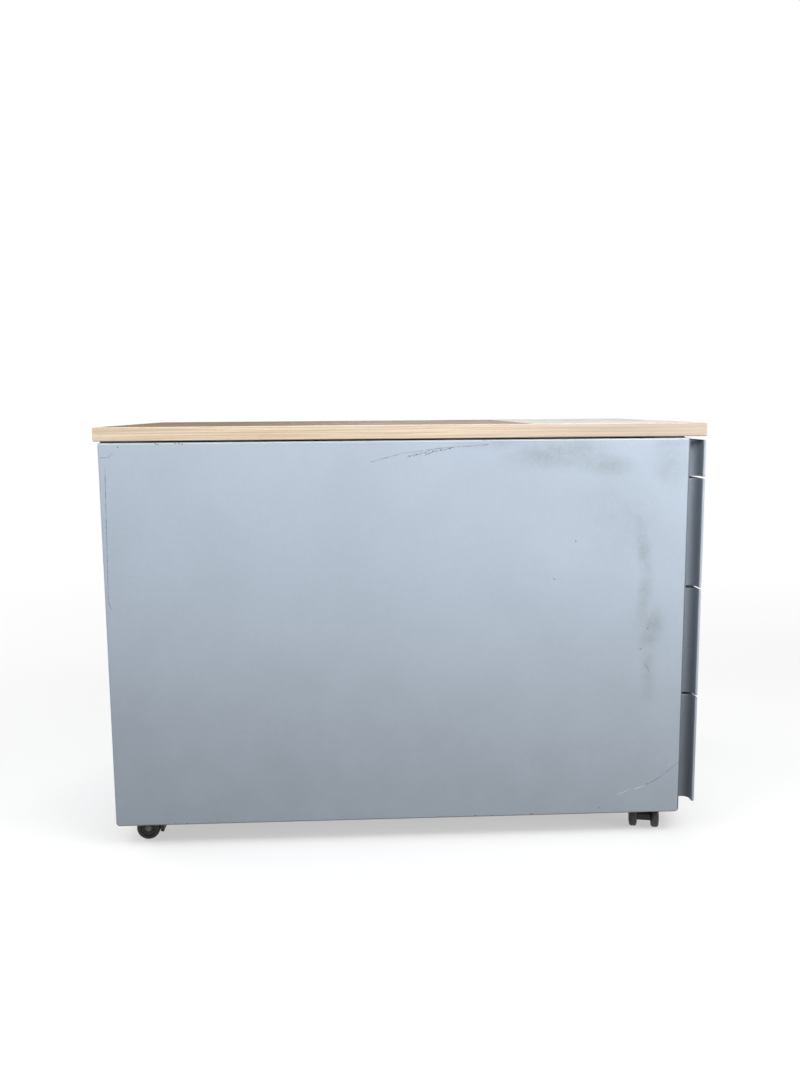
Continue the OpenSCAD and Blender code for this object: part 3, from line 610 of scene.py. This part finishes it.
def addPiece(mesh, material, *nodes):
    # The piece rides where its first node does and stands for all of them
    piece = bpy.data.objects.new(pieceName(nodes[0]), mesh)
    scene.collection.objects.link(piece)
    mesh.materials.clear()
    mesh.materials.append(materials[material])
    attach(piece, frame["nodes"][nodes[0]]["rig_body"])
    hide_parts(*nodes)
    return piece


# How CAD solids are cleaned: distances in millimetres and angles in degrees
cleaning = {"joinWithin": 0.002, "levelWithin": 0.01, "flatWithin": 0.4, "sharpFrom": 35.0}


def mergedShell(node):
    # The CAD solid with its triangles joined and its flat faces whole
    shell = bmesh.new()
    shell.from_mesh(frame["nodes"][node].data)
    bmesh.ops.remove_doubles(shell, verts=shell.verts, dist=cleaning["joinWithin"] * mm)
    bmesh.ops.dissolve_limit(shell, angle_limit=math.radians(cleaning["flatWithin"]), verts=shell.verts,
                             edges=shell.edges)
    return shell


def roundEdges(shell, mark, radius, steps, chosen=None):
    # Rounds the sharp edges, and marks the middle of each bevel for the wear
    sharp = math.radians(cleaning["sharpFrom"])
    edges = [edge for edge in shell.edges if edge.calc_face_angle(0.0) > sharp]
    if chosen:
        edges = [edge for edge in edges if chosen(edge)]
    made = bmesh.ops.bevel(shell, geom=edges, offset=radius, segments=steps, profile=0.5, affect="EDGES",
                           clamp_overlap=False)
    rounded = set(made["faces"])
    for vert in {vert for face in rounded for vert in face.verts}:
        if all(face in rounded for face in vert.link_faces):
            vert[mark] = 1.0


def softened(node, material, radius, steps=2, rim=0.0):
    # The CAD solid with rounded edges; rim rounds the upper and lower outline more
    shell = mergedShell(node)
    mark = shell.verts.layers.float.new("edge")
    low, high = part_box(node)
    if rim:
        near = cleaning["levelWithin"] * mm

        def onOutline(edge):
            heights = [vert.co.z for vert in edge.verts]
            return max(heights) < low.z + near or min(heights) > high.z - near

        roundEdges(shell, mark, rim, 4, onOutline)
    roundEdges(shell, mark, radius, steps)
    mesh = bpy.data.meshes.new(pieceName(node))
    shell.to_mesh(mesh)
    shell.free()
    shadeByArea(mesh)
    return addPiece(mesh, material, node)


def closeMesh(mesh, edge):
    # Stores the wear mark, joins points that coincide and turns all faces outward
    mesh.attributes.new("edge", "FLOAT", "POINT").data.foreach_set("value", edge.astype(np.float32))
    shell = bmesh.new()
    shell.from_mesh(mesh)
    bmesh.ops.remove_doubles(shell, verts=shell.verts, dist=0.5 * cleaning["joinWithin"] * mm)
    bmesh.ops.recalc_face_normals(shell, faces=shell.faces)
    shell.to_mesh(mesh)
    shell.free()
    shadeByArea(mesh)
    return mesh


def ringMesh(name, rings, edge, closedRows=False, around=None, along=None):
    # Rings are rows of points on closed loops: quads join them, and flat caps end them unless rows close too
    rows, count = rings.shape[:2]
    index = np.arange(rows * count).reshape(rows, count)
    low = index if closedRows else index[:-1]
    high = np.roll(index, -1, axis=0) if closedRows else index[1:]
    quads = np.stack([low, np.roll(low, -1, 1), np.roll(high, -1, 1), high], axis=-1).reshape(-1, 4)
    faces = quads.tolist()
    if not closedRows:
        faces += [index[0][::-1].tolist(), index[-1].tolist()]
    mesh = bpy.data.meshes.new(name)
    mesh.from_pydata(rings.reshape(-1, 3).tolist(), [], faces)
    if around is not None:
        # Corner coordinates: distance round the loop, then distance across the rows
        across, down = np.meshgrid(np.arange(count), np.arange(len(low)))
        steps = ((0, 0), (1, 0), (1, 1), (0, 1))
        corners = [np.stack([around[across + i], along[down + j]], axis=-1) for i, j in steps]
        flat = np.stack(corners, axis=2).reshape(-1, 2)
        mesh.uv_layers.new(name="UVMap").data.foreach_set("uv", flat.reshape(-1).astype(np.float32))
    return closeMesh(mesh, np.broadcast_to(edge, (rows, count)).reshape(-1))


def roundedOutline(low, high, radii, steps):
    # Points and outward normals round a rectangle, anticlockwise, an arc at each corner from the low one on
    points, normals = [], []
    for quarter, radius in enumerate(radii):
        angles = np.radians(np.linspace(180, 270, steps) + 90 * quarter)
        outward = np.stack([np.cos(angles), np.sin(angles)], axis=1)
        right, top = quarter in (1, 2), quarter in (2, 3)
        centre = np.array([high[0] - radius if right else low[0] + radius,
                           high[1] - radius if top else low[1] + radius])
        points.append(centre + radius * outward)
        normals.append(outward)
    return np.concatenate(points), np.concatenate(normals)


def quarterRound(radius, steps):
    # Inset and drop of a quarter circle from the face to the side, and a wear value that peaks midway
    angles = np.radians(np.linspace(0, 90, steps))
    return radius * (1 - np.sin(angles)), radius * (1 - np.cos(angles)), np.sin(2 * angles)


# Side panels: a folded tray, its skin rolled over a bend into the flanges
sidePanel = {"sheet": 1.0, "bend": 2.5, "upperCorner": 3.0, "lowerCorner": 5.0, "cornerSteps": 9,
             "bendSteps": 7, "tipBreak": 0.2, "tipWear": 0.6}


def foldedPanel(node, material):
    low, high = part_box(node)
    side = -1 if low.x < 0 else 1
    outerX = max(abs(low.x), abs(high.x))
    depth = high.x - low.x
    sheet, bend = sidePanel["sheet"] * mm, sidePanel["bend"] * mm
    tip = sidePanel["tipBreak"] * mm
    radii = [sidePanel[key] * mm for key in ("lowerCorner", "lowerCorner", "upperCorner", "upperCorner")]
    outline, outward = roundedOutline((low.y, low.z), (high.y, high.z), radii, sidePanel["cornerSteps"])
    inset, drop, wear = quarterRound(bend, sidePanel["bendSteps"])
    innerInset, innerDrop, innerWear = quarterRound(bend - sheet, sidePanel["bendSteps"])
    tipWear = sidePanel["tipWear"]
    insets = np.concatenate([inset, [0, tip, sheet - tip, sheet], sheet + innerInset[::-1]])
    drops = np.concatenate([drop, [depth - tip, depth, depth, depth - tip], sheet + innerDrop[::-1]])
    wears = np.concatenate([wear, [tipWear, 1, 1, tipWear], np.zeros_like(innerWear)])
    flat = outline[None] - insets[:, None, None] * outward[None]
    across = np.broadcast_to(side * (outerX - drops)[:, None, None], flat.shape[:2] + (1,))
    mesh = ringMesh(pieceName(node), np.concatenate([across, flat], axis=2), wears[:, None])
    return addPiece(mesh, material, node)


foldedPanel("side_panel_left", "markedPaint")
foldedPanel("side_panel_right", "sidePaint")
print("side panels folded")


# Edge band: a rounded strip carried round the board
edgeBand = {"thickness": 2.0, "arris": 1.5, "cornerSteps": 7, "arrisSteps": 6, "innerBreak": 0.15,
            "tightest": 0.98}


def bandLoop():
    low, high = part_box("edge_bands")
    thick, arris, breakIn = (edgeBand[key] * mm for key in ("thickness", "arris", "innerBreak"))
    outline, outward = roundedOutline(low[:2], high[:2], [arris] * 4, edgeBand["cornerSteps"])
    inset, drop, wear = quarterRound(arris, edgeBand["arrisSteps"])
    insets = np.concatenate([[thick, thick - breakIn], inset, inset[::-1], [thick - breakIn, thick]])
    levels = np.concatenate([[high.z - breakIn, high.z], high.z - drop, (low.z + drop)[::-1],
                             [low.z, low.z + breakIn]])
    wears = np.concatenate([[0, 0], wear, wear[::-1], [0, 0]])
    # The inner corners of a thin strip close up, so insets there stop just short of the arris radius
    most = arris * edgeBand["tightest"]
    flat = outline[None] - np.minimum(insets, most)[:, None, None] * outward[None]
    middle = (np.array(low[:2]) + np.array(high[:2])) / 2
    half = (np.array(high[:2]) - np.array(low[:2])) / 2
    room = half - np.maximum(insets - most, 0)[:, None]
    flat = middle + np.clip(flat - middle, -room[:, None, :], room[:, None, :])
    heights = np.broadcast_to(levels[:, None, None], flat.shape[:2] + (1,))
    steps = np.linalg.norm(np.diff(np.concatenate([outline, outline[:1]]), axis=0), axis=1)
    around = np.concatenate([[0], np.cumsum(steps)])
    profile = np.stack([insets, levels], axis=1)
    rises = np.linalg.norm(np.diff(np.concatenate([profile, profile[:1]]), axis=0), axis=1)
    along = np.concatenate([[0], np.cumsum(rises)])
    rings = np.concatenate([flat, heights], axis=2)
    mesh = ringMesh("edgeBands", rings, wears[:, None], True, around, along)
    return addPiece(mesh, "bandDecor", "edge_bands")


bandLoop()
softened("top_board", "boardDecor", 0.15 * mm)
print("board and bands made")


# Sheet-metal case parts and drawers
caseParts = {
    "back_panel": ("backPaint", 0.3),
    "base_pan": ("framePaint", 0.45),
    "top_rail_front": ("framePaint", 0.4),
    "top_rail_rear": ("framePaint", 0.4),
    "uprights_left": ("framePaint", 0.45),
    "uprights_right": ("framePaint", 0.45),
    "castor_plates": ("zincSteel", 0.4),
    "lock_bar": ("zincSteel", 0.4),
    "lock_bar_guides": ("blackPlastic", 0.4),
    "lock_housing": ("lockNickel", 0.4),
    "lock_barrel": ("lockNickel", 0.25),
    "lock_cam": ("zincSteel", 0.25),
}
for node, (material, radius) in caseParts.items():
    softened(node, material, radius * mm)
for drawer in drawers:
    for kind in ("case_rails", "mid_rails", "box_rails"):
        softened(drawer + "_" + kind, "zincSteel", 0.45 * mm, 3)
    softened(drawer + "_box", "boxPaint", 0.35 * mm)
    softened(drawer + "_front", "frontPaint", 0.3 * mm, rim=0.9 * mm)
softened("pencil_box_walls", "boxPaint", 0.35 * mm)
for castor in castors:
    softened(castor + "_castor", "blackCasting", 0.7 * mm, 3)
    softened(castor + "_axle", "blackSteel", 0.3 * mm)
print("case, drawers and castor frames made")


# Castor wheels: one section turned round the axle, with a ribbed dish on the outer side
wheel = {
    "radius": 16.0,
    "halfWidth": 5.0,
    "treadRound": 3.0,
    "treadSteps": 7,
    "treadLine": (0.25, 0.12),  # half width and depth of the mould line
    "bore": 3.05,
    "seat": (4.8, 1.5),         # radius and depth of the recess for the axle's head
    "dish": (6.0, 11.0, 1.6),   # from, to and depth
    "dishSlope": 0.5,
    "groove": (12.2, 0.5, 0.4),  # where the tyre meets the hub, its depth and half width
    "softening": 0.3,
    "ribs": 9,
    "ribShare": 0.62,           # of the dish's depth
    "wear": (13.5, 2.0),        # radius where it begins, and how far on it is full
    "steps": 108,
}


def softCorners(points, radius, steps=4):
    # Each corner of a closed loop becomes a curve: the point between its two cuts, weighted t squared
    points = np.array(points, float)
    before = np.roll(points, 1, axis=0) - points
    after = np.roll(points, -1, axis=0) - points
    cuts = []
    for toward in (before, after):
        length = np.linalg.norm(toward, axis=1, keepdims=True)
        cuts.append(points + toward / length * np.minimum(radius, length * 0.45))
    share = np.linspace(0, 1, steps)[None, :, None]
    start, end = cuts[0][:, None], cuts[1][:, None]
    curve = (1 - share) ** 2 * start + 2 * share * (1 - share) * points[:, None] + share ** 2 * end
    return curve.reshape(-1, points.shape[1])


def wheelSection():
    radius, half, bore = wheel["radius"], wheel["halfWidth"], wheel["bore"]
    seatRadius, seatDepth = wheel["seat"]
    dishFrom, dishTo, dishDepth = wheel["dish"]
    grooveAt, grooveDepth, grooveHalf = wheel["groove"]
    lineHalf, lineDepth = wheel["treadLine"]
    bend, slope = wheel["treadRound"], wheel["dishSlope"]
    angles = np.radians(np.linspace(0, 90, wheel["treadSteps"]))
    outer = np.stack([radius - bend + bend * np.cos(angles), half - bend + bend * np.sin(angles)], axis=1)
    inner = outer[::-1] * (1, -1)
    sharp = [
        (grooveAt + grooveHalf, half), (grooveAt, half - grooveDepth), (grooveAt - grooveHalf, half),
        (dishTo, half), (dishTo - slope, half - dishDepth), (dishFrom + slope, half - dishDepth),
        (dishFrom, half),
        (seatRadius, half), (seatRadius, half - seatDepth), (bore, half - seatDepth), (bore, -half),
        (grooveAt, -half),
    ]
    line = [(radius, -lineHalf), (radius - lineDepth, 0.0), (radius, lineHalf)]
    return np.concatenate([inner, line, outer, softCorners(sharp, wheel["softening"])[2:]])


def castorWheel(node):
    joint = next(row for row in frame["joints"] if row["child"] == node)
    outward = Vector(joint["axis"]).normalized() * (1 if node.endswith("2") else -1)
    level = outward.cross(Vector((0, 0, 1))).normalized()
    centre = np.array(joint["pos_m"])
    section = wheelSection()
    radii, across = section[:, :1] * mm, section[:, 1:] * mm
    angles = np.linspace(0, 2 * np.pi, wheel["steps"], endpoint=False)[None, :]
    # Ribs rise from the floor of the dish as narrow humps of the angle
    dishFrom, dishTo, dishDepth = (value * mm for value in wheel["dish"])
    above = across - wheel["halfWidth"] * mm + dishDepth
    inDish = (radii > dishFrom) & (radii < dishTo) & (above > -0.01 * mm) & (above < 0.5 * dishDepth)
    humps = np.clip(np.cos(angles * wheel["ribs"]) * 4 - 3, 0, 1)
    across = across + inDish * humps * dishDepth * wheel["ribShare"]
    spin = np.cos(angles)[..., None] * np.array(level) + np.sin(angles)[..., None] * np.array((0, 0, 1))
    rings = centre + radii[..., None] * spin + across[..., None] * np.array(outward)
    wearFrom, wearOver = wheel["wear"]
    worn = np.clip((radii / mm - wearFrom) / wearOver, 0, 1)
    return addPiece(ringMesh(pieceName(node), rings, worn, True), "wheelPlastic", node)


for castor in castors:
    for side in ("1", "2"):
        castorWheel(castor + "_wheel_" + side)
print("castor wheels turned")


# Screws: a domed head with a crossed recess, and a shank with rings for its thread
screw = {
    "headRadius": 3.6, "headHeight": 2.2, "dome": 0.8, "domeSteps": 12, "headBreak": (0.15, 0.2),
    "shankRadius": 2.0, "pitch": 0.7, "threadDepth": 0.28, "threadEnds": (0.35, 0.6), "tipBreak": 0.5,
    "crossWidth": 0.62, "crossReach": 1.9, "crossDepth": 1.2, "crossFade": (1.4, 0.6), "steps": 32,
}


def looseParts(node):
    # Low and high corners of each solid: the smallest vertex number spreads along edges and pointers
    shell = mergedShell(node)
    mesh = bpy.data.meshes.new("parts")
    shell.to_mesh(mesh)
    shell.free()
    points = readValues(mesh.vertices, "co", 3).reshape(-1, 3)
    edges = readValues(mesh.edges, "vertices", 2, np.int32).reshape(-1, 2)
    bpy.data.meshes.remove(mesh)
    label = np.arange(len(points))
    changed = True
    while changed:
        fresh = label.copy()
        np.minimum.at(fresh, edges[:, 0], label[edges[:, 1]])
        np.minimum.at(fresh, edges[:, 1], label[edges[:, 0]])
        fresh = fresh[fresh]
        changed = bool((fresh != label).any())
        label = fresh
    found = [points[label == root] for root in np.unique(label)]
    return [(group.min(0), group.max(0)) for group in found]


def screwMesh(name, places, axis):
    # Radius by height rings: dome, then head side, then a shank whose radius ripples with the thread
    head, rise = screw["headRadius"], screw["headHeight"]
    low, high = places[0]
    along = int(np.argmax(np.abs(axis)))
    length = (high - low)[along] / mm - rise
    share = np.linspace(0, 1, screw["domeSteps"])
    domeRadius = head * share
    domeHeight = -rise + screw["dome"] * share ** 3
    threadFrom, threadRest = screw["threadEnds"]
    shankHeight = np.arange(threadFrom, length - threadRest, screw["pitch"] / 4)
    ripple = 0.5 - 0.5 * np.cos(2 * np.pi * shankHeight / screw["pitch"])
    shankRadius = screw["shankRadius"] - screw["threadDepth"] * ripple
    breakIn, breakUp = screw["headBreak"]
    radii = np.concatenate([domeRadius, [head, head - breakIn], [screw["shankRadius"]], shankRadius,
                            [screw["shankRadius"] - screw["tipBreak"], 0.0]])
    heights = np.concatenate([domeHeight, [-breakUp, 0.0], [0.0], shankHeight, [length, length]])
    angles = np.linspace(0, 2 * np.pi, screw["steps"], endpoint=False)[None, :]
    right, up = radii[:, None] * np.cos(angles), radii[:, None] * np.sin(angles)
    # The recess is deepest on the two crossing bars and fades out at their ends
    barFade, endFade = screw["crossFade"]
    away = np.minimum(np.abs(right), np.abs(up))
    bars = np.clip(barFade - away / screw["crossWidth"], 0, 1)
    reach = np.clip((screw["crossReach"] - radii[:, None]) / endFade, 0, 1)
    onHead = (np.arange(len(radii)) < len(share))[:, None]
    depth = screw["crossDepth"] * bars * reach * onHead
    local = np.stack([right, up, heights[:, None] + depth], axis=-1) * mm
    direction = np.array(axis, float)
    first = np.roll(direction, 1)
    second = np.cross(direction, first)
    turned = local[..., :1] * first + local[..., 1:2] * second + local[..., 2:] * direction
    wear = np.clip(bars * reach * onHead + (np.arange(len(radii)) == len(share) - 1)[:, None], 0, 1)
    joined = bmesh.new()
    for low, high in places:
        start = (low + high) / 2
        start[along] = (low if direction[along] > 0 else high)[along] + rise * mm * direction[along]
        part = ringMesh(name, start + turned, wear)
        joined.from_mesh(part)
        bpy.data.meshes.remove(part)
    mesh = bpy.data.meshes.new(name)
    joined.to_mesh(mesh)
    joined.free()
    shadeByArea(mesh)
    return mesh


screwAxes = {"top_screws": (0, 0, 1), "castor_screws": (0, 0, 1)}
screwAxes.update({drawer + "_front_screws": (0, -1, 0) for drawer in drawers})
for node, axis in screwAxes.items():
    addPiece(screwMesh(pieceName(node), looseParts(node), axis), "screwSteel", node)
print("screws made")


# Pencil tray: a height field with two rounded troughs across the front and three pockets behind
tray = {"wall": 2.0, "trough": 32.0, "floor": 2.0, "troughRound": (10.0, 16.0), "pocketRound": (6.0, 6.0),
        "rim": 1.0, "pockets": 3, "gridSteps": 9, "closest": 0.08, "lip": (-0.05, 0.12)}


def trayCavities(low, high):
    wall, trough = tray["wall"] * mm, tray["trough"] * mm
    rows = []
    for row in range(2):
        start = low.y + wall + row * (trough + wall)
        rows.append((low.x + wall, high.x - wall, start, start + trough, *tray["troughRound"]))
    pocketWidth = (high.x - low.x - (tray["pockets"] + 1) * wall) / tray["pockets"]
    for column in range(tray["pockets"]):
        start = low.x + wall + column * (pocketWidth + wall)
        rows.append((start, start + pocketWidth, low.y + 3 * wall + 2 * trough, high.y - wall,
                     *tray["pocketRound"]))
    return rows


def crowded(spans, low, high):
    # Grid lines that crowd towards both ends of each span, by the square of a share of its rounding
    steps = tray["gridSteps"]
    share = np.linspace(0, 1, steps) ** 2
    lines = [[low, high]]
    for start, end, rounding in spans:
        reach = min(rounding * mm, (end - start) / 2)
        lines += [start + share * reach, end - share * reach, np.linspace(start, end, steps)]
    found = np.unique(np.round(np.concatenate(lines), 6))
    return found[np.concatenate([[True], np.diff(found) > tray["closest"] * mm])]


def pencilTray():
    # Depth in a cavity is the root of 1 minus the squared distance into its rounding, along both sides
    low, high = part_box("pencil_tray")
    cavities = trayCavities(low, high)
    columns = crowded([(row[0], row[1], row[4]) for row in cavities], low.x, high.x)
    lines = crowded([(row[2], row[3], row[5]) for row in cavities], low.y, high.y)
    x, y = np.meshgrid(columns, lines)
    deep = high.z - low.z - tray["floor"] * mm
    drop = np.zeros_like(x)
    lip = np.zeros_like(x)
    for left, right, front, rear, roundX, roundY in cavities:
        inX, inY = np.minimum(x - left, right - x), np.minimum(y - front, rear - y)
        pastX = np.clip(1 - inX / (roundX * mm), 0, None)
        pastY = np.clip(1 - inY / (roundY * mm), 0, None)
        inside = 1 - pastX ** 2 - pastY ** 2
        drop += deep * np.sqrt(np.clip(inside, 0, 1))
        lip = np.maximum(lip, (inside > tray["lip"][0]) & (inside < tray["lip"][1]))
    rim = tray["rim"] * mm
    edgeGap = np.minimum(np.minimum(x - low.x, high.x - x), np.minimum(y - low.y, high.y - y))
    drop += rim * (1 - np.sqrt(1 - np.clip(1 - edgeGap / rim, 0, 1) ** 2))
    z = high.z - drop
    count = x.size
    index = np.arange(count).reshape(x.shape)
    quads = np.stack([index[:-1, :-1], index[:-1, 1:], index[1:, 1:], index[1:, :-1]], axis=-1)
    loop = np.concatenate([index[0, :-1], index[:-1, -1], index[-1, :0:-1], index[:0:-1, 0]])
    foot = np.arange(count, count + len(loop))
    skirt = np.stack([loop, foot, np.roll(foot, -1), np.roll(loop, -1)], axis=-1)
    top = np.stack([x.ravel(), y.ravel(), z.ravel()], axis=1)
    bottom = top[loop] * (1, 1, 0) + (0, 0, low.z)
    mesh = bpy.data.meshes.new("pencilTray")
    faces = quads.reshape(-1, 4).tolist() + skirt.tolist() + [foot[::-1].tolist()]
    mesh.from_pydata(np.concatenate([top, bottom]).tolist(), [], faces)
    wear = np.concatenate([lip.ravel(), np.zeros(len(foot))])
    return addPiece(closeMesh(mesh, wear), "trayPlastic", "pencil_tray")


pencilTray()
print("pencil tray made")


# Stage: pale floor, white backdrop and soft lamps
stage = {
    "floorSize": 40.0,
    "floorTint": (238, 238, 238),
    "floorGrain": 4,
    "floorDeep": (150, 150, 150),  # for light that bounces, so that less comes up from the floor
    "shadowShare": 0.5,
    "shadowReach": (0.7, 2.2),     # where the shadow's share begins to fade and where it ends
    "ambient": 0.08,
    "lamps": (
        # name, place, aim, width, height, power
        ("leftLampFront", (-0.72, -0.7, 1.26), (-0.2, -0.2, 0.5), 1.0, 0.4, 10),
        ("leftLampRear", (-0.66, 0.8, 1.25), (-0.2, 0.15, 0.48), 1.1, 0.4, 8.6),
        ("leftLampMiddle", (-0.95, -0.2, 1.15), (-0.2, -0.1, 0.45), 1.6, 0.3, 4),
        ("frontLamp", (-1.2, -2.4, 0.8), (-0.1, -0.2, 0.4), 1.2, 1.0, 35),
        ("topLamp", (0.3, 0.2, 2.2), (0.0, 0.0, 0.5), 1.4, 1.4, 6),
        ("rearLamp", (0.9, 2.1, 1.3), (0.0, 0.3, 0.3), 1.6, 1.1, 26),
        ("rightLamp", (2.1, -0.5, 1.4), (0.2, 0.0, 0.3), 1.6, 1.1, 26),
    ),
}


def seenDirectly(tree):
    # 1 for camera, mirror and glass rays, 0 for light that bounces
    rays = tree.nodes.new("ShaderNodeLightPath").outputs
    return calc(tree, "MAXIMUM", calc(tree, "MAXIMUM", rays["Is Camera Ray"], rays["Is Glossy Ray"]),
                rays["Is Transmission Ray"])


def makeStage():
    half = stage["floorSize"] / 2
    mesh = bpy.data.meshes.new("floor")
    corners = [(-half, -half, 0), (half, -half, 0), (half, half, 0), (-half, half, 0)]
    mesh.from_pydata(corners, [], [(0, 1, 2, 3)])
    floor = bpy.data.objects.new("floor", mesh)
    scene.collection.objects.link(floor)
    made = bpy.data.materials.new("floorPaint")
    made.use_nodes = True
    tree = made.node_tree
    tree.nodes.clear()
    place = tree.nodes.new("ShaderNodeTexCoord").outputs["Object"]
    seen = seenDirectly(tree)
    grain = noise(tree, place, *grains["floor"])
    paler = [part + stage["floorGrain"] for part in stage["floorTint"]]
    tone = blendColours(tree, grain, tint(*stage["floorTint"]), tint(*paler))
    tone = blendColours(tree, seen, tint(*stage["floorDeep"]), tone)
    matt = addNode(tree, "BsdfDiffuse", {"Color": tone}).outputs["BSDF"]
    white = addNode(tree, "Emission", {"Color": (1, 1, 1, 1), "Strength": 1.0}).outputs["Emission"]
    far = vectorCalc(tree, "LENGTH", place, result="Value")
    keep = ramp(tree, far, *stage["shadowReach"], stage["shadowShare"], 0.0)
    share = times(tree, seen, calc(tree, "SUBTRACT", 1.0, keep))
    mixed = addNode(tree, "MixShader")
    for socket, value in zip(mixed.inputs, (share, matt, white)):
        feed(socket, value)
    tree.links.new(mixed.outputs[0], tree.nodes.new("ShaderNodeOutputMaterial").inputs["Surface"])
    mesh.materials.append(made)
    world = bpy.data.worlds.new("studio")
    world.use_nodes = True
    scene.world = world
    tree = world.node_tree
    background = tree.nodes["Background"].inputs
    background["Color"].default_value = (1, 1, 1, 1)
    bright = times(tree, seenDirectly(tree), 1 - stage["ambient"])
    feed(background["Strength"], plus(tree, stage["ambient"], bright))
    for name, place, aim, width, height, power in stage["lamps"]:
        data = bpy.data.lights.new(name, "AREA")
        data.shape = "RECTANGLE"
        data.size, data.size_y, data.energy = width, height, power
        lamp = bpy.data.objects.new(name, data)
        lamp.visible_camera = False
        lamp.location = place
        lamp.rotation_euler = (Vector(aim) - Vector(place)).to_track_quat("-Z", "Y").to_euler()
        scene.collection.objects.link(lamp)


makeStage()
print("stage set")
